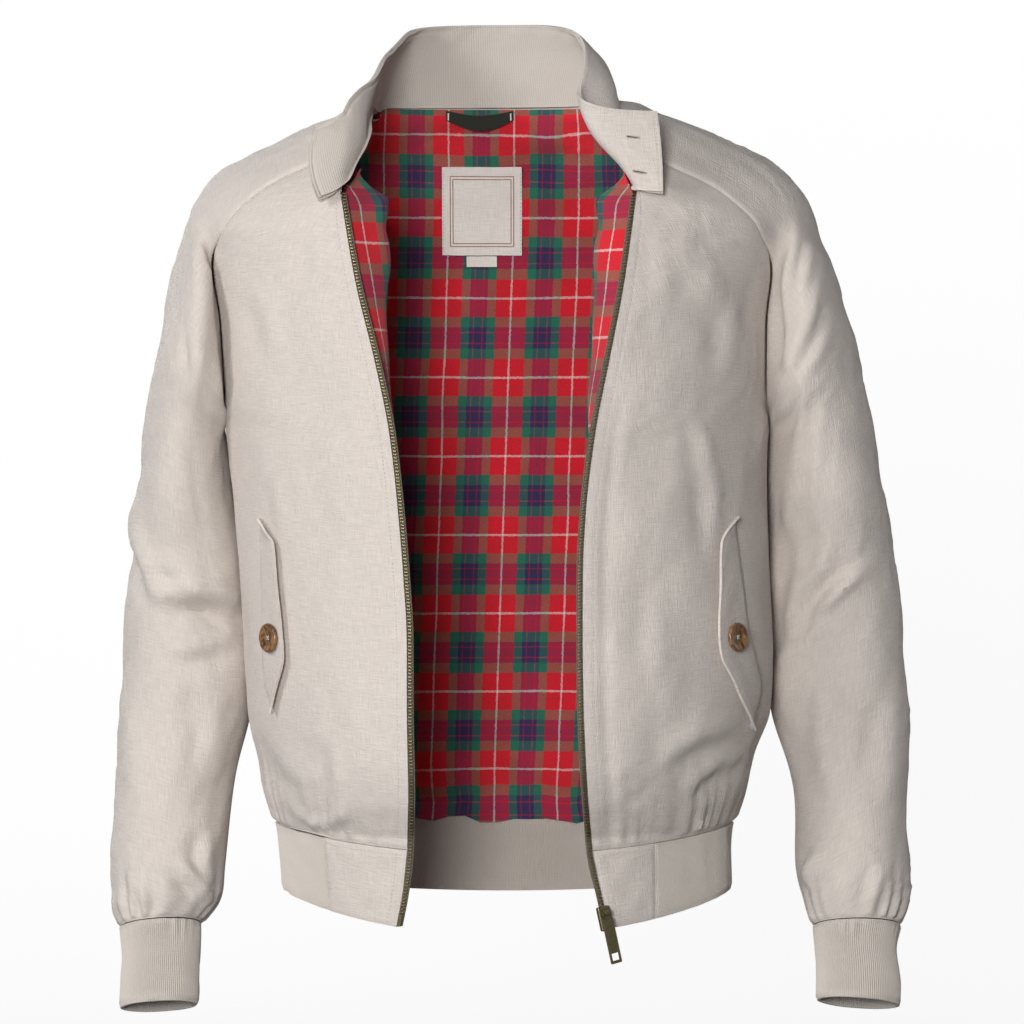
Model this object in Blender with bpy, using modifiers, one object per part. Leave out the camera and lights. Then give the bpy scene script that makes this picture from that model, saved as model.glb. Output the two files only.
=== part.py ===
"""Harrington jacket, worn open: a short raglan blouson with a stand collar whose ends are turned outwards.

Metres, +Z up, the jacket's front towards -Y, the wearer's left at +X. The origin is between the shoulders,
where the wearer carries the jacket, so heights below it are negative. Every piece of cloth is a wall that is
worked out from the sections of the body, the seams drawn on it and the rings of the sleeves.
"""

import math

import bmesh
import bpy
import numpy as np
from mathutils import Euler, Matrix, Vector

# Cloth: thickness of the walls, and the spaces that keep neighbours apart
CLOTH = 0.0014
RIB = 0.0022
LINING = 0.0010
TRIM = 0.0009
SEAM_GAP = 0.0003  # each of two pieces stops this far short of the seam
LINING_DEPTH = 0.0060  # from the outside of the shell to the lining
FLAP_LIFT = 0.0010
BUTTON_LIFT = 0.0016
COLLAR_LIFT = 0.0018
COLLAR_LAYERS = 0.0008  # between the collar's two layers
COLLAR_INSET = 0.0012  # the inner layer's foot is this much higher than the outer layer's
COLLAR_SPLIT = 0.0006  # half the gap between rib and facing, as part of the way round

# Grid of each wall
ZIP_ROWS = 7  # from the waistband to the underarm's height
RAGLAN_STEPS = 9  # along the raglan seam
LINING_STEPS = 5  # those that the sleeve's lining covers, from the neck out
FRONT_COLUMNS = 6
BACK_COLUMNS = 12
ARM_COLUMNS = 16
COLLAR_ROWS = 4

# Hardware
BUTTON = {"radius": 0.0115, "thick": 0.0036}
COLLAR_BUTTON = {"radius": 0.0075, "thick": 0.0028}
TAPE = {"under": 0.0080, "past": 0.0044, "thick": 0.0010, "depth": 0.0033}
CHAIN = {"near": 0.0010, "far": 0.0040, "thick": 0.0021}
SLIDER = {"wide": 0.0105, "deep": 0.0045, "high": 0.0190, "aside": 0.0035}
PULL = {"wide": 0.0095, "thick": 0.0018, "long": 0.0400, "window": 0.0060}
PULL_TILT = math.radians(13)
PIN_RADIUS = 0.0009
EYE_RADIUS = 0.0023
EYE_BORE = 0.0013
EYE_WIDE = 0.0044
LUG_WIDE = 0.0014
BRIDGE_UP = 0.0045  # from the slider's middle to its bridge
SLIDER_HEIGHT = -0.6455
END_PIECE = 0.0100  # length of the zip's pin and of its box
POCKET_FLAP = 0.0020


def table(columns, *rows):
    """A short table as one array for each named column."""
    return dict(zip(columns.split(), np.array(rows, float).T))


# Level sections of the body, from the waistband's bottom edge to the neck: half the width, x of the middle,
# and the depth before and behind the shoulder line. Above the underarm they take in the shoulders too.
BODY = table(
    "height half mid front back",
    (-0.660, 0.180, -0.004, 0.154, 0.152),
    (-0.640, 0.181, -0.004, 0.155, 0.154),
    (-0.585, 0.184, -0.006, 0.159, 0.157),
    (-0.575, 0.187, -0.006, 0.166, 0.163),
    (-0.555, 0.194, -0.006, 0.179, 0.171),
    (-0.525, 0.201, -0.005, 0.187, 0.176),
    (-0.490, 0.211, -0.002, 0.188, 0.175),
    (-0.440, 0.2140, -0.003, 0.184, 0.171),
    (-0.360, 0.2145, -0.007, 0.177, 0.165),
    (-0.250, 0.2195, -0.013, 0.168, 0.155),
    (-0.180, 0.2230, -0.0150, 0.160, 0.147),
    (-0.145, 0.2305, -0.0158, 0.154, 0.142),
    (-0.120, 0.2400, -0.0165, 0.148, 0.137),
    (-0.100, 0.2520, -0.0170, 0.141, 0.132),
    (-0.080, 0.2480, -0.0175, 0.132, 0.126),
    (-0.057, 0.2280, -0.0185, 0.116, 0.117),
    (-0.034, 0.1930, -0.0205, 0.097, 0.106),
    (-0.018, 0.1600, -0.0220, 0.080, 0.098),
    (0.004, 0.1250, -0.0240, 0.060, 0.085),
    (0.020, 0.1000, -0.0250, 0.050, 0.075),
)

# The zip edges: x of each at a height
ZIP = table(
    "height right left",
    (-0.655, -0.0912, 0.0765),
    (-0.630, -0.0862, 0.0712),
    (-0.600, -0.0820, 0.0640),
    (-0.550, -0.0800, 0.0588),
    (-0.490, -0.0810, 0.0556),
    (-0.430, -0.0812, 0.0547),
    (-0.380, -0.0840, 0.0549),
    (-0.330, -0.0882, 0.0574),
    (-0.270, -0.0950, 0.0648),
    (-0.215, -0.1062, 0.0755),
    (-0.150, -0.1222, 0.0880),
    (-0.080, -0.1345, 0.0979),
)

WAISTBAND_SEAM = {"right": -0.1455, "left": 0.1120}  # x where the rib meets the cloth ends
ZIP_FOOT = -0.5945  # where the zip edges meet the waistband
ZIP_TOP = -0.0800

# The raglan seams, from the neck (0) to the underarm (1): height on the front and back of the body, and the
# angle round it from the middle of the front or back
RAGLAN = table(
    "along front_angle front_height back_angle back_height",
    (0.00, 32.5, -0.0405, 42.8, 0.002),
    (0.08, 35.5, -0.048, 44.0, -0.018),
    (0.19, 39.8, -0.057, 46.0, -0.037),
    (0.28, 45.4, -0.069, 49.0, -0.055),
    (0.35, 49.3, -0.080, 52.0, -0.070),
    (0.42, 54.3, -0.094, 56.0, -0.087),
    (0.48, 59.5, -0.108, 61.0, -0.104),
    (0.54, 69.0, -0.124, 69.5, -0.124),
    (0.62, 76.0, -0.147, 76.0, -0.149),
    (0.76, 79.8, -0.190, 79.5, -0.190),
    (0.90, 81.3, -0.235, 81.3, -0.235),
    (1.00, 90.0, -0.252, 90.0, -0.252),
)

NARROW_NECK = {"right": 3.7, "left": 0.0}  # degrees by which a front raglan seam starts closer to the middle

# The top line of each sleeve over the shoulder, beside the same steps of the raglan seam, with the turn at
# which the cloth leaves the seam (degrees) and the sleeve's half depth
SHOULDER = table(
    "along right_x right_height left_x left_height turn depth",
    (0.00, -0.1175, -0.003, 0.0850, 0.003, 10, 0.080),
    (0.08, -0.1410, -0.010, 0.101, 0.001, 18, 0.084),
    (0.19, -0.170, -0.021, 0.117, -0.006, 20, 0.087),
    (0.28, -0.200, -0.036, 0.148, -0.017, 24, 0.088),
    (0.35, -0.222, -0.047, 0.174, -0.027, 26, 0.088),
    (0.42, -0.239, -0.056, 0.198, -0.038, 24, 0.086),
    (0.48, -0.250, -0.068, 0.217, -0.049, 14, 0.083),
    (0.54, -0.257, -0.082, 0.231, -0.065, -4, 0.080),
    (0.62, -0.263, -0.099, 0.243, -0.088, -28, 0.077),
    (0.76, -0.273, -0.131, 0.257, -0.123, -56, 0.075),
    (0.90, -0.282, -0.169, 0.270, -0.162, -76, 0.075),
    (1.00, -0.288, -0.200, 0.279, -0.193, -90, 0.075),
)

# Rings of the arms below the underarm: the outer and the inner point of each ring, y of its middle, its half
# depth, and how far it leans forward (degrees)
ARM_COLUMNS_NAMED = "out_x out_height in_x in_height y depth lean"
ARM = {
    "right": table(
        ARM_COLUMNS_NAMED,
        (-0.2950, -0.238, -0.2350, -0.272, 0.018, 0.075, 0),
        (-0.3035, -0.304, -0.2292, -0.325, 0.028, 0.074, 0),
        (-0.3105, -0.358, -0.2208, -0.372, 0.035, 0.070, 0),
        (-0.3174, -0.420, -0.2165, -0.425, 0.036, 0.064, 2),
        (-0.3215, -0.4965, -0.2160, -0.490, 0.029, 0.060, 5),
        (-0.3232, -0.559, -0.2262, -0.553, 0.012, 0.055, 9),
        (-0.3250, -0.618, -0.2313, -0.611, -0.010, 0.049, 13),
        (-0.3230, -0.645, -0.2345, -0.640, -0.021, 0.043, 15),
        (-0.3155, -0.664, -0.2490, -0.660, -0.029, 0.033, 16),
    ),
    "left": table(
        ARM_COLUMNS_NAMED,
        (0.2880, -0.236, 0.2098, -0.272, 0.018, 0.075, 0),
        (0.3025, -0.302, 0.2118, -0.325, 0.028, 0.074, 0),
        (0.3110, -0.357, 0.2100, -0.372, 0.035, 0.070, 0),
        (0.3200, -0.420, 0.2122, -0.425, 0.036, 0.064, 2),
        (0.3238, -0.4965, 0.2150, -0.4935, 0.029, 0.060, 5),
        (0.3218, -0.559, 0.2290, -0.556, 0.012, 0.055, 9),
        (0.3224, -0.620, 0.2290, -0.614, -0.010, 0.049, 13),
        (0.3205, -0.644, 0.2350, -0.642, -0.021, 0.043, 15),
        (0.3125, -0.662, 0.2410, -0.662, -0.029, 0.033, 16),
    ),
}
CUFF = {
    "right": table(
        ARM_COLUMNS_NAMED,
        (-0.3150, -0.6645, -0.2495, -0.6605, -0.0292, 0.0325, 16),
        (-0.3128, -0.682, -0.2500, -0.678, -0.035, 0.0285, 16),
        (-0.3125, -0.700, -0.2505, -0.697, -0.041, 0.0275, 16),
        (-0.3138, -0.7265, -0.2505, -0.7230, -0.049, 0.0275, 16),
    ),
    "left": table(
        ARM_COLUMNS_NAMED,
        (0.3120, -0.6625, 0.2415, -0.6625, -0.0292, 0.0325, 16),
        (0.3080, -0.679, 0.2430, -0.679, -0.035, 0.0285, 16),
        (0.3098, -0.700, 0.2436, -0.698, -0.041, 0.0275, 16),
        (0.3105, -0.7245, 0.2430, -0.7195, -0.049, 0.0275, 16),
    ),
}

# The collar, from its wearer's right end round the neck to its left end. Each row gives the part of the way
# round the neck seam, how far the cloth bulges from the straight line up to the top edge, and the top edge.
COLLAR = table(
    "along bulge_x bulge_y bulge_height top_x top_y top_height",
    (0.000, -0.0075, 0.000, 0.002, -0.1517, -0.104, -0.0285),
    (0.030, -0.0020, -0.003, 0.000, -0.1427, -0.106, -0.0245),
    (0.060, 0.0020, -0.005, 0.000, -0.1350, -0.106, -0.0200),
    (0.100, 0.0030, -0.004, 0.000, -0.1325, -0.098, -0.0125),
    (0.150, 0.0030, -0.003, 0.000, -0.1235, -0.080, 0.0025),
    (0.200, 0.0020, -0.003, 0.000, -0.1135, -0.056, 0.0145),
    (0.260, 0.0000, 0.000, 0.002, -0.1045, -0.018, 0.0370),
    (0.310, -0.0020, 0.001, 0.003, -0.0945, 0.015, 0.0515),
    (0.370, -0.0030, 0.002, 0.001, -0.0840, 0.049, 0.0660),
    (0.430, -0.0010, 0.002, 0.000, -0.0650, 0.073, 0.0715),
    (0.500, 0.0000, 0.002, 0.000, -0.0216, 0.087, 0.0742),
    (0.570, 0.0000, 0.002, 0.000, 0.0200, 0.079, 0.0736),
    (0.630, 0.0030, 0.002, 0.000, 0.0440, 0.060, 0.0695),
    (0.690, 0.0040, 0.001, 0.001, 0.0545, 0.032, 0.0615),
    (0.740, 0.0050, 0.000, 0.003, 0.0575, 0.000, 0.0530),
    (0.800, 0.0050, 0.000, 0.004, 0.0592, -0.038, 0.0410),
    (0.850, 0.0030, 0.000, 0.003, 0.0583, -0.068, 0.0245),
    (0.900, -0.0080, -0.003, 0.000, 0.0545, -0.092, 0.0015),
    (0.930, -0.0110, -0.005, -0.003, 0.0600, -0.106, -0.0095),
    (0.950, -0.0080, -0.005, 0.000, 0.0735, -0.110, -0.0140),
    (0.970, -0.0020, -0.003, 0.000, 0.0888, -0.111, -0.0160),
    (1.000, 0.0010, -0.002, 0.000, 0.1137, -0.110, -0.0167),
)
COLLAR_END = {  # the bottom corner of each turned-out end, past the zip
    "right": (-0.1513, -0.1250, -0.0875),
    "left": (0.1185, -0.1230, -0.0815),
}
FACING_FROM = 0.91  # part of the way round at which the cloth facing takes over from the rib
COLLAR_BUTTON_ROWS = {"top": 3, "low": 1}  # rows of the collar's grid

# Pocket flaps: from the top corner (0) to the bottom corner (1), x and height of the stitched edge, and how
# far the free edge reaches towards the front
FLAP = {
    "right": table(
        "along x height reach",
        (0.00, -0.1963, -0.3356, 0.0012),
        (0.08, -0.1971, -0.3470, 0.0090),
        (0.14, -0.1971, -0.3550, 0.0145),
        (0.35, -0.1965, -0.3890, 0.0170),
        (0.55, -0.1960, -0.4200, 0.0200),
        (0.72, -0.1955, -0.4430, 0.0212),
        (0.86, -0.1945, -0.4640, 0.0155),
        (1.00, -0.1865, -0.4870, 0.0012),
    ),
    "left": table(
        "along x height reach",
        (0.00, 0.1743, -0.3350, 0.0012),
        (0.08, 0.1749, -0.3470, 0.0120),
        (0.14, 0.1760, -0.3550, 0.0165),
        (0.35, 0.1805, -0.3900, 0.0220),
        (0.55, 0.1846, -0.4200, 0.0275),
        (0.72, 0.1900, -0.4430, 0.0310),
        (0.86, 0.1955, -0.4680, 0.0245),
        (1.00, 0.1880, -0.4995, 0.0012),
    ),
}
FLAP_BUTTON = {"along": 0.615, "across": 0.56}
FLAP_STEPS = (0.0, 0.08, 0.14, 0.30, 0.45, 0.60, 0.72, 0.86, 1.0)
FLAP_RISE = 0.0050  # the free edge stands off the front by this much more than the stitched edge

# Trim inside the back of the neck: middle (x, height), width and height
LABEL = {"x": -0.0252, "height": -0.0754, "wide": 0.0680, "high": 0.0740}
SIZE_TAG = {"x": -0.0256, "height": -0.1176, "wide": 0.0260, "high": 0.0090}
LOOP = {"from": -0.0560, "to": 0.0020, "height": 0.0010, "sag": 0.0055, "wide": 0.0075, "bow": 0.0060}

# The lining swells past the zip edges into the opening: by how much, at each height
LINING_SWELL = table(
    "height right left",
    (-0.655, 0.0020, 0.0020),
    (-0.450, 0.0020, 0.0020),
    (-0.330, 0.0040, 0.0030),
    (-0.240, 0.0120, 0.0140),
    (-0.150, 0.0160, 0.0170),
    (-0.080, 0.0150, 0.0140),
)

SIDES = {"right": -1.0, "left": 1.0}

COLOURS = {
    "shell": (0.60, 0.56, 0.51),
    "rib": (0.55, 0.51, 0.46),
    "lining": (0.55, 0.04, 0.07),
    "brass": (0.14, 0.14, 0.09),
    "horn": (0.22, 0.13, 0.06),
    "tape": (0.05, 0.06, 0.05),
    "label": (0.72, 0.62, 0.55),
}
ROUGHNESS = {"brass": 0.45, "horn": 0.35}


def read(rows, key, name, at):
    """Column `name` where column `key` is `at`, on a curve through the rows that never overshoots them."""
    xs, ys = rows[key], rows[name]
    chord = np.diff(ys) / np.diff(xs)
    before, after = chord[:-1], chord[1:]
    same = before * after > 0
    inner = np.where(same, 2 * before * after / np.where(same, before + after, 1.0), 0.0)
    slope = np.concatenate([chord[:1], inner, chord[-1:]])
    at = np.clip(at, xs[0], xs[-1])
    i = np.clip(np.searchsorted(xs, at) - 1, 0, len(xs) - 2)
    span = xs[i + 1] - xs[i]
    t = (at - xs[i]) / span
    rise = (2 * t**3 - 3 * t**2 + 1) * ys[i] + (3 * t**2 - 2 * t**3) * ys[i + 1]
    return rise + span * ((t**3 - 2 * t**2 + t) * slope[i] + (t**3 - t**2) * slope[i + 1])


def unit(vector):
    return vector / np.maximum(np.linalg.norm(vector, axis=-1, keepdims=True), 1e-12)


def body(height, angle):
    """A point on the outside of the body: angle 0 is the middle of the front, +90 degrees the left side."""
    height, angle = np.broadcast_arrays(np.asarray(height, float), np.asarray(angle, float))
    deep = np.where(np.cos(angle) > 0, read(BODY, "height", "front", height), read(BODY, "height", "back", height))
    x = read(BODY, "height", "mid", height) + read(BODY, "height", "half", height) * np.sin(angle)
    return np.stack([x, -deep * np.cos(angle), height], axis=-1)


def angle_at(x, height):
    """The angle round the front of the body at which it has this x."""
    off = (x - read(BODY, "height", "mid", height)) / read(BODY, "height", "half", height)
    return np.arcsin(np.clip(off, -1, 1))


def zip_angle(side, height):
    return angle_at(read(ZIP, "height", side, height), height)


def waist_height(angle):
    """Height of the seam between the body and the waistband, lowest in the middle of the front."""
    return -0.580 - 0.015 * np.maximum(np.cos(angle), 0) ** 2 - 0.004 * np.maximum(-np.cos(angle), 0) ** 2


def hem_height(angle):
    """Height of the waistband's bottom edge."""
    return -0.634 - 0.025 * np.maximum(np.cos(angle), 0) ** 2 - 0.016 * np.maximum(-np.cos(angle), 0) ** 2


def body_outward(height, angle):
    """The outward direction of the body there."""
    step = 1e-4
    across = body(height, angle + step) - body(height, angle - step)
    up = body(height + step, angle) - body(height - step, angle)
    return unit(np.cross(across, up))


def inside_back(x, height, depth):
    """A point inside the back of the body, this deep behind its outside."""
    angle = math.pi - angle_at(x, height)
    return body(height, angle) - body_outward(height, angle) * depth


def outward_at(grid):
    """The body's outward directions at a grid of points on it."""
    x, y, height = grid[..., 0], grid[..., 1], grid[..., 2]
    across = (x - read(BODY, "height", "mid", height)) / read(BODY, "height", "half", height)
    deep = np.where(y < 0, read(BODY, "height", "front", height), read(BODY, "height", "back", height))
    return body_outward(height, np.arctan2(across, -y / deep))


def normals(grid):
    """The grid's outward directions, for rows that rise and columns that run to the wearer's left."""
    down = np.gradient(grid, axis=0)
    across = np.gradient(grid, axis=1)
    return unit(np.cross(across, down))


def trimmed(grid, gap=SEAM_GAP):
    """The grid with its border drawn in by the gap, so that neighbours keep apart at their seam."""
    grid = grid.copy()
    for rows in (grid, grid.transpose(1, 0, 2)):
        rows[0] += unit(rows[1] - rows[0]) * gap
        rows[-1] += unit(rows[-2] - rows[-1]) * gap
    return grid


def seam(face, side, along):
    """Points of a raglan seam on the front or back of the body."""
    turn = read(RAGLAN, "along", f"{face}_angle", along)
    if face == "front":
        turn = turn - NARROW_NECK[side] * np.clip(1 - np.asarray(along) / 0.19, 0, 1) ** 2
    turn = np.radians(turn) * SIDES[side]
    turn = turn if face == "front" else SIDES[side] * math.pi - turn
    return read(RAGLAN, "along", f"{face}_height", along), turn


def raglan_steps():
    """Steps along the raglan seam, closer where it turns."""
    return np.linspace(1, 0, RAGLAN_STEPS + 1)


def outer_border(face, side):
    """Heights and angles up a panel's outer border: the side seam, then the raglan seam to the neck."""
    rise = np.linspace(0, 1, ZIP_ROWS, endpoint=False)
    under_height, under_angle = seam(face, side, 1.0)
    start = waist_height(under_angle)
    heights, angles = seam(face, side, raglan_steps())
    rising = start + (under_height - start) * rise
    return np.concatenate([rising, heights]), np.concatenate([np.full(ZIP_ROWS, under_angle), angles])


def zip_heights(side):
    """Heights of a front's rows at its zip edge."""
    height, _ = outer_border("front", side)
    share = (height - height[0]) / (height[-1] - height[0])
    return ZIP_FOOT + (ZIP_TOP - ZIP_FOOT) * share


def front_grid(side):
    """Rows from the waistband up to the neck, columns from the wearer's right to the left."""
    out_height, out_angle = outer_border("front", side)
    in_height = zip_heights(side)
    in_angle = zip_angle(side, in_height)
    across = np.linspace(0, 1, FRONT_COLUMNS + 1)[None, :]
    height = in_height[:, None] * (1 - across) + out_height[:, None] * across
    angle = in_angle[:, None] * (1 - across) + out_angle[:, None] * across
    lowest = waist_height(angle[:1])
    height[0] = lowest[0]
    grid = body(height, angle)
    return grid[:, ::-1] if side == "right" else grid


def back_grid():
    """Rows from the waistband up to the neck, columns from the wearer's left round the back to the right."""
    height, angle = outer_border("back", "left")
    across = np.linspace(0, 1, BACK_COLUMNS + 1)[None, :]
    turned = angle[:, None] + (2 * math.pi - 2 * angle[:, None]) * across
    level = np.repeat(height[:, None], BACK_COLUMNS + 1, axis=1)
    level[0] = waist_height(turned[0])
    return body(level, turned)


def arm_ring(row, columns):
    """One closed ring of a sleeve or cuff, starting at its inner point and running by the front."""
    outer = np.array([row["out_x"], row["y"], row["out_height"]])
    inner = np.array([row["in_x"], row["y"], row["in_height"]])
    lean = math.radians(row["lean"])
    ahead = row["depth"] * np.array([0, -math.cos(lean), math.sin(lean)])
    turn = np.linspace(-math.pi / 2, 1.5 * math.pi, columns + 1)[:, None]
    return (outer + inner) / 2 + (outer - inner) / 2 * np.sin(turn) + ahead * np.cos(turn)


def arm_rings(rows, columns):
    count = len(rows["out_x"])
    return [arm_ring({name: values[i] for name, values in rows.items()}, columns) for i in range(count)]


def shoulder_arcs(side, columns):
    """The sleeve's arcs from the front raglan seam over the shoulder line to the back raglan seam."""
    arcs = []
    for along in raglan_steps()[::-1]:
        front = body(*seam("front", side, along))
        back = body(*seam("back", side, along))
        x = read(SHOULDER, "along", f"{side}_x", along)
        top = np.array([x, 0.012 * along, read(SHOULDER, "along", f"{side}_height", along)])
        turn = math.radians(read(SHOULDER, "along", "turn", along))
        depth = read(SHOULDER, "along", "depth", along)
        middle = (front + back) / 2
        base = (middle - top * math.sin(turn)) / (1 - math.sin(turn))
        sweep = np.linspace(turn, math.pi - turn, columns + 1)[:, None]
        arc = base + (top - base) * np.sin(sweep) + np.array([0, -depth, 0]) * np.cos(sweep)
        fade = np.clip(1 - (sweep - turn) / (math.pi / 2 - turn), 0, 1) ** 2
        arc = arc + (front - arc[0]) * fade + (back - arc[-1]) * fade[::-1]
        arcs.append(arc)
    return arcs


def sleeve_grid(side, with_arm=True):
    """Rows from the neck edge over the shoulder and down the arm, columns from the front round to the back."""
    arcs = shoulder_arcs(side, ARM_COLUMNS)
    rings = arm_rings(ARM[side], ARM_COLUMNS) if with_arm else []
    grid = np.array(arcs + rings)
    return grid[:, ::-1] if side == "left" else grid


def neck_points():
    """The neck seam from the wearer's right zip to the left one, through the top edges of all its pieces."""
    right_front = front_grid("right")[-1][::-1]
    right_sleeve = sleeve_grid("right")[0]
    back = back_grid()[-1][::-1]
    left_sleeve = sleeve_grid("left")[0]
    left_front = front_grid("left")[-1][::-1]
    return np.concatenate([right_front[:-1:2], right_sleeve[::2], back[1::2], left_sleeve[::2], left_front[2::2]])


def make(name, kind, mesh, modifiers=()):
    """Adds a mesh to the jacket as one named sub-part with its own material."""
    item = bpy.data.objects.new(name, mesh)
    jacket.objects.link(item)
    material = bpy.data.materials.new(name)
    material.use_nodes = True
    shader = material.node_tree.nodes["Principled BSDF"]
    shader.inputs["Base Color"].default_value = (*COLOURS[kind], 1)
    shader.inputs["Roughness"].default_value = ROUGHNESS.get(kind, 0.9)
    shader.inputs["Metallic"].default_value = 1.0 if kind == "brass" else 0.0
    mesh.materials.append(material)
    mesh.shade_smooth()
    mesh.set_sharp_from_angle(angle=math.radians(40))
    return item


def wall(name, kind, grid, thick, joined_from=None):
    """A wall of cloth behind a grid of outside points. From row `joined_from` on, its ends meet as a tube."""
    rows, columns = grid.shape[:2]
    index = np.arange(rows * columns).reshape(rows, columns)
    if joined_from is not None:
        index[joined_from:, -1] = index[joined_from:, 0]
    faces = []
    for r in range(rows - 1):
        for c in range(columns - 1):
            corners = [index[r, c], index[r, c + 1], index[r + 1, c + 1], index[r + 1, c]]
            faces.append([int(v) for v in dict.fromkeys(corners)])
    used = np.unique(index)
    place = {int(v): i for i, v in enumerate(used)}
    mesh = bpy.data.meshes.new(name)
    points = grid.reshape(-1, 3)[used]
    mesh.from_pydata([tuple(p) for p in points], [], [[place[v] for v in face] for face in faces])
    item = make(name, kind, mesh)
    solid = item.modifiers.new("Wall", "SOLIDIFY")
    solid.thickness = thick
    solid.offset = -1
    solid.use_even_offset = False
    return item


def fronts():
    for side in SIDES:
        wall(f"front_{side}", "shell", trimmed(front_grid(side)), CLOTH)


def back():
    wall("back", "shell", trimmed(back_grid()), CLOTH)


def sleeves():
    for side in SIDES:
        grid = trimmed(sleeve_grid(side))
        grid[RAGLAN_STEPS:, 0] = grid[RAGLAN_STEPS:, -1] = sleeve_grid(side)[RAGLAN_STEPS:, 0]
        wall(f"sleeve_{side}", "shell", grid, CLOTH, joined_from=RAGLAN_STEPS)
        ribbed = np.array(arm_rings(CUFF[side], ARM_COLUMNS))
        ribbed = ribbed[:, ::-1] if side == "left" else ribbed
        wall(f"cuff_{side}", "rib", ribbed, RIB, joined_from=0)


def band(name, kind, start, end, columns):
    """A stretch of the waistband between two edges, each given as angles at its foot, middle and top."""
    share = np.linspace(0, 1, columns + 1)[None, :]
    turn = np.reshape(start, (-1, 1)) * (1 - share) + np.reshape(end, (-1, 1)) * share
    rise = np.linspace(0, 1, 3)[:, None]
    height = hem_height(turn) * (1 - rise) + (waist_height(turn) - 0.0006) * rise
    wall(name, kind, trimmed(body(height, turn)), RIB)


def waistband():
    levels = np.array([-0.652, -0.6235, -0.595])
    seams = {side: np.full(3, angle_at(x, -0.615)) for side, x in WAISTBAND_SEAM.items()}
    band("hem_rib", "rib", seams["left"], seams["right"] + 2 * math.pi, 20)
    band("hem_end_right", "shell", seams["right"], zip_angle("right", levels), 3)
    band("hem_end_left", "shell", zip_angle("left", levels), seams["left"], 3)


def collar_columns():
    """The neck seam with a turned-out corner past each zip, and how far round it each point is."""
    neck = neck_points()
    ahead = np.clip((-neck[:, 1] - 0.03) / 0.05, 0, 1)[:, None]
    neck = neck + ahead * np.array([0, -0.0022, 0]) + np.array([0, 0, COLLAR_LIFT])
    foot = np.concatenate([[COLLAR_END["right"]], neck, [COLLAR_END["left"]]])
    steps = np.linalg.norm(np.diff(foot, axis=0), axis=1)
    along = np.concatenate([[0], np.cumsum(steps)]) / steps.sum()
    ends = np.concatenate([along[:4], along[-4:]])
    between = (ends[1:] + ends[:-1])[[0, 1, 2, 4, 5, 6]] / 2
    columns = np.sort(np.concatenate([along, between, [FACING_FROM - COLLAR_SPLIT, FACING_FROM + COLLAR_SPLIT]]))
    return np.stack([np.interp(columns, along, foot[:, axis]) for axis in range(3)], axis=-1), columns


def collar_grid():
    """Rows from the neck seam to the top edge, columns from the wearer's right end to the left end."""
    foot, along = collar_columns()
    bulge, top = (
        np.stack([read(COLLAR, "along", f"{line}_{name}", along) for name in ("x", "y", "height")], axis=-1)
        for line in ("bulge", "top")
    )
    rise = np.linspace(0, 1, COLLAR_ROWS + 1)[:, None, None]
    return foot * (1 - rise) + top * rise + bulge * 4 * rise * (1 - rise), along


def collar_outward(grid):
    return unit(np.cross(np.gradient(grid, axis=0), np.gradient(grid, axis=1)))


def slab(name, kind, outer, inner):
    """A wall of cloth between two grids. The collar's layers share their directions, so they never meet."""
    rows, columns = outer.shape[:2]
    count = rows * columns
    index = np.arange(count).reshape(rows, columns)
    faces = []
    for r in range(rows - 1):
        for c in range(columns - 1):
            a, b, c_up, a_up = index[r, c], index[r, c + 1], index[r + 1, c + 1], index[r + 1, c]
            for corners in ([a, b, c_up], [a, c_up, a_up]):
                faces.append(corners)
                faces.append([corner + count for corner in corners[::-1]])
    border = [*index[0, :], *index[1:, -1], *index[-1, -2::-1], *index[-2:0:-1, 0]]
    for this, following in zip(border, border[1:] + border[:1]):
        faces.append([following, this, this + count, following + count])
    points = np.concatenate([outer.reshape(-1, 3), inner.reshape(-1, 3)])
    mesh = bpy.data.meshes.new(name)
    mesh.from_pydata([tuple(p) for p in points], [], [[int(v) for v in face] for face in faces])
    make(name, kind, mesh)


def collar():
    grid, along = collar_grid()
    outward = collar_outward(grid)
    slab("collar_outer", "shell", grid[:, ::-1], (grid - outward * CLOTH)[:, ::-1])
    near = grid - outward * (CLOTH + COLLAR_LAYERS)
    far = near - outward * RIB
    for layer in (near, far):
        layer[0] += unit(layer[1] - layer[0]) * COLLAR_INSET
    rib, woven = along < FACING_FROM, along > FACING_FROM
    slab("collar_inner", "rib", near[:, rib][:, ::-1], far[:, rib][:, ::-1])
    slab("collar_facing", "shell", near[:, woven][:, ::-1], far[:, woven][:, ::-1])


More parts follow.
